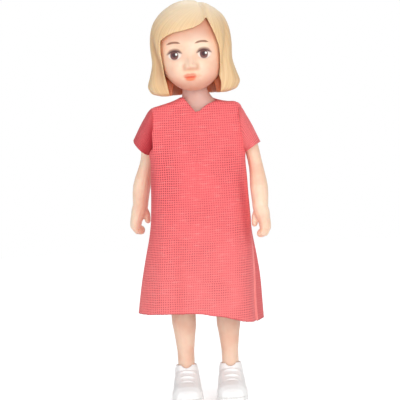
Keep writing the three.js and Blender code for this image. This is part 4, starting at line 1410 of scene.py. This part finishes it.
@dataclass
class Dress:
    """Woven dress: front panel, two back panels and two short sleeves, in millimetres.

    The back panels meet beside the middle, by the lap over its radius as an angle. The sleeves
    are swung by part of their arms' rest swing.
    """

    cloth: bpy.types.Material
    thickness: float = 0.3
    hem_line: Pairs = (
        (-19.0, 25.2), (-2.5, 25.1), (2.8, 24.2), (5.5, 23.7), (7.7, 23.1), (9.9, 22.35),
        (14.2, 21.4), (15.7, 21.7),
    )
    hem_width: float = 35.2
    hem_depth: float = 25.6
    hem_shift: float = -1.7
    back_flare: float = 1.5
    seam_tuck: float = 2.0
    seam_start: float = 1.45
    seam_flange: float = 0.55
    waist_width: float = 27.4
    waist_depth: float = 16.0
    chest_width: float = 26.6
    chest_depth: float = 12.6
    armhole_width: float = 24.4
    underarm: float = 69.2
    yoke_height: float = 82.2
    neck_seam: float = 84.9
    neck_point: tuple[float, float] = (0.4, 80.2)
    neck_slope: float = 3.6
    neck_left: Pairs = ((1.9, 81.6), (3.5, 82.65), (5, 83.3), (6.3, 83.75), (7.6, 84.2))
    lap: float = 2.4
    lap_radius: float = 13.0
    lap_gap: float = 0.006
    front_columns: int = 130
    back_columns: int = 80
    panel_rows: int = 150
    shoulder_height: float = 76.6
    sleeve_radius: float = 6.0
    sleeve_length: float = 11.5
    sleeve_depth: float = 11.0
    sleeve_inset: float = 1.8
    sleeve_follow: float = 0.5
    bend: tuple[float, float] = (12.2, 14.6)
    bend_height: float = 76
    sleeve_columns: int = 96
    sleeve_rows: int = 44
    sleeves: dict[Side, SleeveSet] = field(
        default_factory=lambda: {
            # The left sleeve is made paler by painted light.
            Side.LEFT: SleeveSet((17.7, 71.4), (13.4, 68.6), -7.0, 0.22, 0.12),
            Side.RIGHT: SleeveSet((17.8, 73.4), (13.4, 69.4), 23.0, 0.0, 0.3),
        }
    )
    cuts: dict[Panel, Cut] = field(
        default_factory=lambda: {
            Panel.FRONT: Cut(0.052, 0.0635, 0.00255),
            Panel.BACK_LEFT: Cut(0.029, 0.0635, 0.0013),
            Panel.BACK_RIGHT: Cut(0.0235, 0.0635, 0.00098),
        }
    )
    sleeve_cut: Cut = Cut(0.037, 0.0125, 0.00021)
    openings: tuple[Opening, ...] = (
        Opening(-9.0, 64.0, 4.5, 14.0, 0.85),
        Opening(8.5, 66.0, 3.5, 7.0, 0.7),
        Opening(-10.0, 40.0, 4.0, 12.0, 0.5),
        Opening(6.0, 50.0, 5.0, 6.0, 0.4),
    )
    front_folds: tuple[Fold, ...] = (
        Fold((-12.2, 72), (-13.4, 44), 1.4, -0.75),
        Fold((-10.6, 64), (-12.5, 28), 1.7, 0.5),
        Fold((11.2, 66), (12.9, 43), 1.4, -1.1),
        Fold((9.8, 60), (9.2, 24), 2.0, 0.5),
        Fold((-5.5, 52), (-7.5, 20), 2.6, -0.45),
        Fold((3.0, 46), (3.4, 20), 2.6, 0.5),
        Fold((0.5, 74), (-1.0, 50), 3.2, 0.25),
        Fold((-8.6, 78), (-9.6, 60), 1.3, -0.25),
    )
    back_folds: tuple[Fold, ...] = (
        Fold((-9, 60), (-11, 22), 2.2, 0.8),
        Fold((9, 62), (11, 22), 2.4, 0.8),
        Fold((-4.5, 55), (-5.5, 22), 1.8, -0.35),
        Fold((4, 58), (4.6, 22), 2.0, -0.4),
        Fold((0.5, 50), (0.8, 22), 1.8, 0.5),
    )

    def widths(self) -> Pairs:
        """Half widths by height above the soles.

        Returns:
            Heights in millimetres, each with its half width.
        """
        wide, waist = self.hem_width, self.waist_width
        arm, chest = self.armhole_width / 2, self.chest_width / 2
        yoke, neck = self.yoke_height, self.neck_seam
        return (
            (17, wide / 2 + 0.3), (22, wide / 2), (33.5, mix(waist, wide, 0.72) / 2),
            (40, mix(waist, wide, 0.48) / 2), (47, mix(waist, wide, 0.18) / 2), (56, waist / 2),
            (62, (waist - 0.4) / 2), (67, chest), (self.underarm, chest + 0.3), (71, arm + 2.2),
            (78, arm + 1.7), (80.4, arm + 1.0), (yoke, arm), (mix(yoke, neck, 0.33), 9.0),
            (mix(yoke, neck, 0.63), 6.2), (neck, 3.9),
        )

    def reaches(self, front: bool) -> Pairs:
        """Reach forwards or backwards by height.

        Args:
            front: whether the reach is that of the front panel.

        Returns:
            Heights with their reach from the body's middle.
        """
        hem, waist, chest = self.hem_depth / 2, self.waist_depth, self.chest_depth / 2
        skirt = mix(waist, self.hem_depth, 0.48) / 2
        if front:
            return (
                (17, hem + 0.9), (22, hem + 0.2), (40, skirt), (56, waist / 2), (66, chest + 0.8),
                (74, chest + 0.4), (78.5, chest - 0.4), (81, chest - 1.1), (self.yoke_height, 4.6),
                (self.neck_seam, 4.2),
            )
        return (
            (17, hem + 4), (22, hem + 2.8), (27, hem + 1), (30, hem - 0.3), (34, hem - 1.6),
            (40, skirt - 0.2), (56, waist / 2), (66, chest + 0.1), (76, chest - 0.2),
            (81, chest - 1.1), (self.yoke_height, 4.7), (self.neck_seam, 4.2),
        )

    def shifts(self) -> Pairs:
        """Sideways shift of the rings by height."""
        shift = self.hem_shift
        return ((17, shift - 0.2), (27, shift + 0.3), (40, shift * 0.33), (50, 0))

    def point(self, angle: float, z: float, front: bool) -> Vector:
        """Place on the cloth.

        Args:
            angle: 0 at the middle of the panel, a quarter turn at each side seam.
            z: height above the soles.
            front: whether the place is on the front panel.

        Returns:
            The place in the row frame.
        """
        half, reach = along(self.widths(), z), along(self.reaches(front), z)
        power = 2 / mix(2.35, 3.0, smooth(60, 74, z))
        across = math.sin(angle)
        x = half * swell(across, power)
        y = reach * swell(math.cos(angle), power)
        x, y = self.side_seam(x, y, angle, z, power, front)
        under_sleeve = smooth(69.4, 71.5, z) * smooth(82.2, 80.4, z)
        x = mix(x, max(x, -self.armhole_width / 2 - 0.15), under_sleeve)
        lift = 0.5 * bump(x - 11.2, 1.8) * smooth(79, 82.2, z)
        p = Vector((x + along(self.shifts(), z), -y if front else y, z + lift))
        folds = self.front_folds if front else self.back_folds
        out = sum(fold.height(p.x, z) for fold in folds)
        out *= smooth(1.0, 0.55, abs(across))
        crease = noise.noise(Vector((p.x * 0.22, z * 0.09, 4.0 if front else 9.0)))
        out += 0.28 * crease * smooth(84, 76, z) * smooth(1.0, 0.7, abs(across))
        return p + Vector((0, -out if front else out, 0))

    def side_seam(
        self, x: float, y: float, angle: float, z: float, power: float, front: bool
    ) -> tuple[float, float]:
        """Shapes the skirt's left side seam: a narrow flange in front, the back panel behind.

        Args:
            x: place across, before the seam.
            y: distance from the body's middle, before the seam.
            angle: place round the panel, as for a point of the cloth.
            z: height above the soles.
            power: how boxy the ring is.
            front: whether the place is on the front panel.

        Returns:
            The place across and the distance from the body's middle.
        """
        low = smooth(56, 24, z)
        edge = along(self.reaches(True), z) * math.cos(self.seam_start) ** power * low
        if front:
            x -= self.seam_tuck * low * smooth(0.7, self.seam_start, angle)
            x += self.seam_flange * low * smooth(self.seam_start, math.pi / 2, angle)
            return x, max(y, edge) if angle > self.seam_start else y
        beside = smooth(math.pi / 2, 1.33, angle)
        flare = self.back_flare * smooth(52, 30, z) * beside * smooth(0.7, 1.2, angle) * 0.5
        tuck = (self.seam_tuck - self.seam_flange) * low
        return x + (flare - tuck * (1 - beside)), y - edge * (1 - beside)

    def hem(self, x: float) -> float:
        """Height of the hem at a place across the dress, with its uneven cut edge.

        Args:
            x: place across.

        Returns:
            Height above the soles.
        """
        wide = 0.16 * noise.noise(Vector((x * 0.35, 2.0, 0.0)))
        rough = wide + 0.08 * noise.noise(Vector((x * 1.7, 5.0, 0.0)))
        return along(self.hem_line, x) + rough

    def neckline(self, x: float, front: bool) -> float:
        """Height of the neckline across the dress, or of the neck seam beyond it.

        Args:
            x: place across.
            front: whether the neckline is that of the front panel.

        Returns:
            Height above the soles.
        """
        if not front:
            behind = mix(self.neck_seam - 0.5, 83.1, smooth(0, 3.4, x))
            return mix(behind, self.neck_seam, smooth(3.4, 6.2, x)) if x > -4.1 else self.neck_seam
        if x < self.neck_point[0]:
            share = (self.neck_point[0] - x) / self.neck_slope
            return min(mix(self.neck_point[1], self.neck_seam, share), self.neck_seam)
        if x < self.neck_left[-1][0]:
            return along((self.neck_point, *self.neck_left), x)
        return self.neck_seam

    def ceiling(self, angle: float, front: bool) -> float:
        """Height at which a thread that runs up the panel meets the neckline.

        Args:
            angle: place of the thread round the panel.
            front: whether the panel is the front one.

        Returns:
            Height above the soles.
        """
        low, high = 76.0, self.neck_seam
        for _ in range(14):
            middle = (low + high) / 2
            if middle < self.neckline(self.point(angle, middle, front).x, front):
                low = middle
            else:
                high = middle
        return low

    def panel(self, which: Panel) -> bpy.types.Object:
        """Makes one panel as a sheet with its threads along its own grain.

        Args:
            which: the panel.

        Returns:
            The panel, which rides on the torso.
        """
        front = which is Panel.FRONT
        columns = self.front_columns if front else self.back_columns
        bm = bmesh.new()
        bmesh.ops.create_grid(bm, x_segments=columns, y_segments=self.panel_rows, size=1.0)
        places = self.lay_out(bm, which)
        self.count_threads(bm, places)
        for vertex in bm.verts:
            vertex.co = places[vertex.index] * MM
        piece = new_object(which.value + "_cloth", mesh_from(bm, which.value), self.cloth)
        self.stiffen(piece, self.outward)
        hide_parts(which.value)
        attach(piece, "torso")
        return piece

    def lay_out(self, bm: bmesh.types.BMesh, which: Panel) -> dict[int, Vector]:
        """Finds each point's place on the panel and stores the weave's attributes.

        Args:
            bm: square grid from -1 to 1, left as it is.
            which: the panel.

        Returns:
            Places in millimetres by the point's index.
        """
        front = which is Panel.FRONT
        quarter = math.pi / 2
        opening = -self.lap / self.lap_radius
        left = opening if which is Panel.BACK_LEFT else -quarter
        right = opening - self.lap_gap if which is Panel.BACK_RIGHT else quarter
        shade = bm.verts.layers.float.new("shade")
        painted_light = bm.verts.layers.float.new("painted_light")
        loose = bm.verts.layers.float.new("open")
        folds = self.front_folds if front else self.back_folds
        threads: dict[float, tuple[float, float, float]] = {}
        places: dict[int, Vector] = {}
        for vertex in bm.verts:
            s, t = (vertex.co.x + 1) / 2, (vertex.co.y + 1) / 2
            key = round(s, 5)
            if key not in threads:
                angle = mix(left, right, s)
                hem = self.hem(self.point(angle, self.hem_line[1][1], front).x)
                threads[key] = (angle, hem, self.ceiling(angle, front))
            angle, low, high = threads[key]
            place = self.point(angle, mix(low, high, t), front)
            places[vertex.index] = place
            depth = -sum(fold.height(place.x, place.z) for fold in folds)
            low_side = smooth(50, 40, place.z)
            cut_edge = smooth(0.4, 0.1, place.z - low)
            vertex[shade] = 0.65 * smooth(0.1, 1.3, depth) + 0.55 * cut_edge
            if which is Panel.BACK_LEFT:
                vertex[shade] += 0.35 * smooth(0.72, 0.8, s) * low_side
            apart = sum(patch.reading(place) for patch in self.openings)
            vertex[loose] = apart - 0.4 * smooth(0.84, 0.98, abs(math.sin(angle)))
            # Pale strip along the side seam: the seam's pale raw edge, with painted light where the
            # front's edge turns from the lamps.
            vertex[painted_light] = 1.2 * smooth(0.958, 0.966, s) * low_side if front else 0.0
        return places

    @staticmethod
    def count_threads(bm: bmesh.types.BMesh, places: dict[int, Vector]) -> None:
        """Maps the sheet flat, in millimetres along the cloth and up it.

        Args:
            bm: square grid from -1 to 1.
            places: where each point lies on the dress.
        """
        layer = bm.loops.layers.uv.new("cloth")
        lines: dict[float, list[bmesh.types.BMVert]] = {}
        for vertex in bm.verts:
            lines.setdefault(round((vertex.co.y + 1) / 2, 5), []).append(vertex)
        flat: dict[int, tuple[float, float]] = {}
        for line in lines.values():
            line.sort(key=lambda vertex: vertex.co.x)
            middle = min(range(len(line)), key=lambda k: abs(places[line[k].index].x))
            run = [0.0]
            for left, right in zip(line, line[1:]):
                run.append(run[-1] + (places[right.index] - places[left.index]).length)
            for distance, vertex in zip(run, line):
                flat[vertex.index] = (distance - run[middle], places[vertex.index].z)
        for face in bm.faces:
            for loop in face.loops:
                loop[layer].uv = flat[loop.vert.index]

    def stiffen(self, piece: bpy.types.Object, outward: Callable[[Vector], Vector]) -> None:
        """Gives a sheet its thickness, inwards from its outer face.

        Args:
            piece: sheet of no thickness.
            outward: direction that the outer face looks in at a place.
        """
        bm = bmesh.new()
        bm.from_mesh(piece.data)
        bmesh.ops.recalc_face_normals(bm, faces=bm.faces)
        looks = (face.normal.dot(outward(face.calc_center_median())) for face in bm.faces)
        if sum(looks) < 0:
            bmesh.ops.reverse_faces(bm, faces=bm.faces)
        bm.to_mesh(piece.data)
        bm.free()
        wall = piece.modifiers.new("wall", "SOLIDIFY")
        wall.thickness = self.thickness * MM
        wall.offset = -1.0
        wall.use_even_offset = True
        settle(piece)
        smoothed = [True] * len(piece.data.polygons)
        piece.data.polygons.foreach_set("use_smooth", smoothed)

    @staticmethod
    def outward(place: Vector) -> Vector:
        """Direction away from the body's upright axis."""
        return Vector((place.x, place.y, 0)).normalized()

    def sleeve_point(self, side: Side, around: float, t: float) -> Vector:
        """Place on a sleeve.

        Args:
            side: the doll's side.
            around: angle round the sleeve, 0 at its top.
            t: 0 at the armhole seam, 1 at the opening.

        Returns:
            The place in the row frame, in millimetres.
        """
        end = self.sleeves[side]
        seam = self.armhole_width / 2 - 0.15
        arch = 0.55 * math.sin(math.pi * t) + 0.28 * math.sin(math.pi * min(t * 3, 1))
        top_z = mix(self.yoke_height + 0.1, end.outer_end[1], t) + arch
        top = Vector((mix(seam, end.outer_end[0], t**0.92), 0, top_z))
        low = Vector((mix(seam, end.inner_end[0], t), 0, mix(self.underarm, end.inner_end[1], t)))
        middle, up = (top + low) / 2, (top - low) / 2
        deep = mix(self.chest_depth / 2 - self.sleeve_inset, self.sleeve_depth / 2, t**0.7)
        power = 2 / mix(2.6, 2.0, t)
        c, s = math.cos(around), math.sin(around)
        crease = noise.noise(Vector((c * 1.6, s * 1.6, t * 1.5 + 3 * side.value)))
        size = 1 + 0.03 * t * crease
        place = middle + up * swell(c, power) * size
        place += Vector((0, deep * swell(s, power) * size, 0))
        place += up.normalized() * 0.12 * noise.noise(Vector((s * 3, t * 2, 7))) * t
        turn = Matrix.Rotation(math.radians(end.swing * self.sleeve_follow), 3, "X")
        pivot = Vector((0, 0, self.shoulder_height))
        swung = turn @ (place - pivot) + pivot
        place = place.lerp(swung, smooth(0.0, 0.35, t))
        place.x *= side.value
        return place

    @staticmethod
    def sleeve_shade(side: Side, around: float, t: float) -> float:
        """Shade of a sleeve: a soft seam on the lit side, darker below on the other.

        Args:
            side: the doll's side.
            around: angle round the sleeve, 0 at its top.
            t: 0 at the armhole seam, 1 at the opening.

        Returns:
            The shade, which the weave takes from 0 to 1.
        """
        if side is Side.LEFT:
            return 0.45 * smooth(0.2, 0.02, t)
        under = smooth(0.7, -0.4, math.cos(around))
        return 0.5 + under * (0.65 + 0.4 * smooth(0.6, 0.05, t))

    def sleeve(self, side: Side) -> bpy.types.Object:
        """Makes one short sleeve, swung with its arm.

        Args:
            side: the doll's side.

        Returns:
            The sleeve.
        """
        bm = bmesh.new()
        columns, rows = self.sleeve_columns, self.sleeve_rows
        bmesh.ops.create_grid(bm, x_segments=columns, y_segments=rows, size=1.0)
        layer = bm.loops.layers.uv.new("cloth")
        shade = bm.verts.layers.float.new("shade")
        painted_light = bm.verts.layers.float.new("painted_light")
        loose = bm.verts.layers.float.new("open")
        for vertex in bm.verts:
            around, t = math.pi * vertex.co.x, (vertex.co.y + 1) / 2
            vertex.co = self.sleeve_point(side, around, t) * MM
            vertex[shade] = self.sleeve_shade(side, around, t)
            vertex[painted_light] = self.sleeves[side].painted_light
            vertex[loose] = self.sleeves[side].open
            for loop in vertex.link_loops:
                loop[layer].uv = (around * self.sleeve_radius, t * self.sleeve_length)
        name = "sleeve_" + side.label
        bmesh.ops.remove_doubles(bm, verts=bm.verts, dist=MERGE)
        piece = new_object(name + "_cloth", mesh_from(bm, name), self.cloth)
        middle = Vector((14.3 * side.value, 0, 75.5)) * MM
        self.stiffen(piece, lambda spot: (spot - middle) * Vector((0.3, 1, 1)))
        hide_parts(name)
        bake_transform(piece)
        return piece


@dataclass(frozen=True)
class Lamp:
    """Soft square lamp, in metres and watts."""

    name: str
    place: tuple[float, float, float]
    size: float
    power: float
    colour: Colour

    def build(self, aim: Vector) -> None:
        """Adds the lamp to the scene.

        Args:
            aim: place that the lamp faces.
        """
        data = bpy.data.lights.new(self.name, "AREA")
        data.shape = "SQUARE"
        data.size = self.size
        data.energy = self.power
        data.color = self.colour
        lamp = bpy.data.objects.new(self.name, data)
        bpy.context.scene.collection.objects.link(lamp)
        lamp.location = self.place
        away = aim - Vector(self.place)
        lamp.rotation_euler = away.to_track_quat("-Z", "Y").to_euler()


@dataclass
class Studio:
    """Camera, lamps, world and floor, in metres, with the sensor in millimetres."""

    frame_width: float = 0.112
    sensor_width: float = 36.0
    aim: Vector = field(default_factory=lambda: Vector((0.0, 0.0, 0.0559)))
    distance: float = 0.75
    height_angle: float = math.radians(3.0)
    roll: float = math.radians(-3.0)
    near: float = 0.01
    far: float = 10.0
    lamps: tuple[Lamp, ...] = (
        Lamp("key", (0.25, -0.66, 0.2), 0.4, 2.4, (1.0, 0.985, 0.96)),
        Lamp("fill", (-0.45, -0.55, 0.1), 0.5, 1.75, (0.97, 0.98, 1.0)),
        Lamp("back", (0.1, 0.5, 0.6), 0.5, 1.6, WHITE),
    )
    world_light: float = 0.5
    world_seen: float = 1.0
    floor_half: float = 0.6

    def camera(self) -> None:
        """Sets the camera that takes the photograph's view."""
        data = bpy.data.cameras.new("camera")
        data.sensor_width = self.sensor_width
        data.lens = data.sensor_width * self.distance / self.frame_width
        data.clip_start, data.clip_end = self.near, self.far
        camera = bpy.data.objects.new("camera", data)
        bpy.context.scene.collection.objects.link(camera)
        away = Vector((0, -math.cos(self.height_angle), math.sin(self.height_angle)))
        tilt = Matrix.Rotation(math.pi / 2 - self.height_angle, 4, "X")
        turn = tilt @ Matrix.Rotation(self.roll, 4, "Z")
        camera.matrix_world = Matrix.Translation(self.aim + away * self.distance) @ turn
        bpy.context.scene.camera = camera

    def world(self) -> None:
        """Makes a world that looks white and lights the doll at half its strength."""
        world = bpy.data.worlds.new("studio")
        bpy.context.scene.world = world
        world.use_nodes = True
        nodes, links = world.node_tree.nodes, world.node_tree.links
        background = nodes["Background"]
        path = nodes.new("ShaderNodeLightPath")
        strength = nodes.new("ShaderNodeMapRange")
        seen = nodes.new("ShaderNodeMath")
        seen.operation = "MAXIMUM"
        links.new(path.outputs["Is Camera Ray"], seen.inputs[0])
        links.new(path.outputs["Is Transmission Ray"], seen.inputs[1])
        links.new(seen.outputs[0], strength.inputs[0])
        strength.inputs["To Min"].default_value = self.world_light
        strength.inputs["To Max"].default_value = self.world_seen
        links.new(strength.outputs[0], background.inputs["Strength"])
        background.inputs["Color"].default_value = (*WHITE, 1.0)

    def floor(self) -> None:
        """Lays the white floor that the doll stands on."""
        bm = bmesh.new()
        bmesh.ops.create_grid(bm, x_segments=1, y_segments=1, size=self.floor_half)
        floor = new_object("floor", mesh_from(bm, "floor"), FloorFinish().build())

    def build(self) -> None:
        """Makes the whole studio."""
        self.camera()
        for lamp in self.lamps:
            lamp.build(self.aim)
        self.world()
        self.floor()
        bpy.context.scene.view_settings.view_transform = "Standard"


SKIN = SoftVinyl("skin_vinyl", srgb(249, 219, 194), srgb(243, 200, 173), glow=0.2)
# Legs: the skin vinyl made darker, painted shade.
LEG_SHADED = SoftVinyl("leg_vinyl", srgb(240, 208, 185), srgb(234, 190, 165), glow=0.2)
# Torso and neck: the skin vinyl made darker, painted shade from the head above.
NECK_SHADED = SoftVinyl("neck_vinyl_shaded", srgb(216, 171, 158), srgb(206, 158, 144), glow=0.2)
SHOE = SoftVinyl(
    "shoe_vinyl", srgb(254, 253, 252), srgb(249, 249, 249), roughness=0.38, glow=0.15,
    glow_colour=(1.0, 0.95, 0.9), glow_depth=0.8 * MM,
)
PEG = SoftVinyl("peg_plastic", srgb(240, 235, 226), srgb(232, 226, 216), roughness=0.5, glow=0.1)


@dataclass(frozen=True)
class HookTape:
    """Short fuzzy loops of a hook and loop tape."""

    name: str
    colour: Colour = srgb(231, 97, 107)
    dark: Colour = srgb(196, 62, 76)

    def build(self) -> bpy.types.Material:
        """Makes the material.

        Returns:
            The material.
        """
        recipe = Recipe(self.name)
        fuzz = recipe.grain(recipe.place(), 4.5, 5.0, 0.7)
        colour = recipe.blend(recipe.span(fuzz, 0.35, 0.65, 0.0, 1.0), self.dark, self.colour)
        return recipe.finish(
            Base_Color=colour, Normal=recipe.relief(fuzz, 0.12 * MM), Roughness=0.9,
            Sheen_Weight=0.3, Sheen_Roughness=0.5,
        )


@dataclass(frozen=True)
class Moulding:
    """Limb, shoe or torso half, smoothed from its own solid with voxels in millimetres."""

    node: str
    finish: bpy.types.Material
    slot: str
    body: str
    voxel: float
    softness: int

    def build(self) -> bpy.types.Object:
        """Makes the piece.

        Returns:
            The piece, which rides on its body.
        """
        name = self.node + "_moulding"
        piece = moulded_copy(self.node, name, self.finish, self.voxel * MM, self.softness)
        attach(piece, self.body)
        return piece


def mouldings() -> list[Moulding]:
    """Lists the limbs, the shoes and the torso halves with their finishes.

    Returns:
        The mouldings, in the order that they are made.
    """
    arm, leg, neck, shoe = (finish.build() for finish in (SKIN, LEG_SHADED, NECK_SHADED, SHOE))
    listed = []
    for side in Side:
        label = side.label
        listed += [
            Moulding("arm_" + label, arm, "skin_vinyl", "arm_" + label, 0.22, 6),
            Moulding("leg_" + label, leg, "skin_vinyl", "leg_" + label, 0.3, 6),
            Moulding("shoe_" + label, shoe, "shoe_vinyl", "leg_" + label, 0.17, 2),
        ]
    for half in ("torso_front", "torso_back"):
        listed.append(Moulding(half, neck, "body_plastic", "torso", 0.3, 3))
    return listed


def finish_hidden() -> None:
    """Gives the pegs and the closure tape, shown as their own solids, their finishes."""
    peg, tape = PEG.build(), HookTape("tape_nylon").build()
    for name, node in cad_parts.items():
        if "peg" in name:
            finish_node(node, peg)
        elif name == "closure_tape":
            finish_node(node, tape)


def main() -> None:
    """Builds the doll sub-assembly by sub-assembly and reports each piece."""
    Studio().build()
    pivot = Pivot.over_neck()
    head = Head(FacePaint("face_vinyl", SKIN.colour, SKIN.shade, pivot=pivot))
    pieces = [head.build(), Hair(MouldedHair("hair_plastic"), head).build()]
    pieces += [moulding.build() for moulding in mouldings()]
    dress = Dress(PlainWeave("dress_cotton").build())
    pieces += [dress.panel(which) for which in Panel]
    pieces += [dress.sleeve(side) for side in Side]
    finish_hidden()
    for piece in pieces:
        log.info("%s: %d faces", piece.name, len(piece.data.polygons))


if __name__ == "__main__":
    logging.basicConfig(level=logging.INFO, format="%(name)s: %(message)s")
    main()
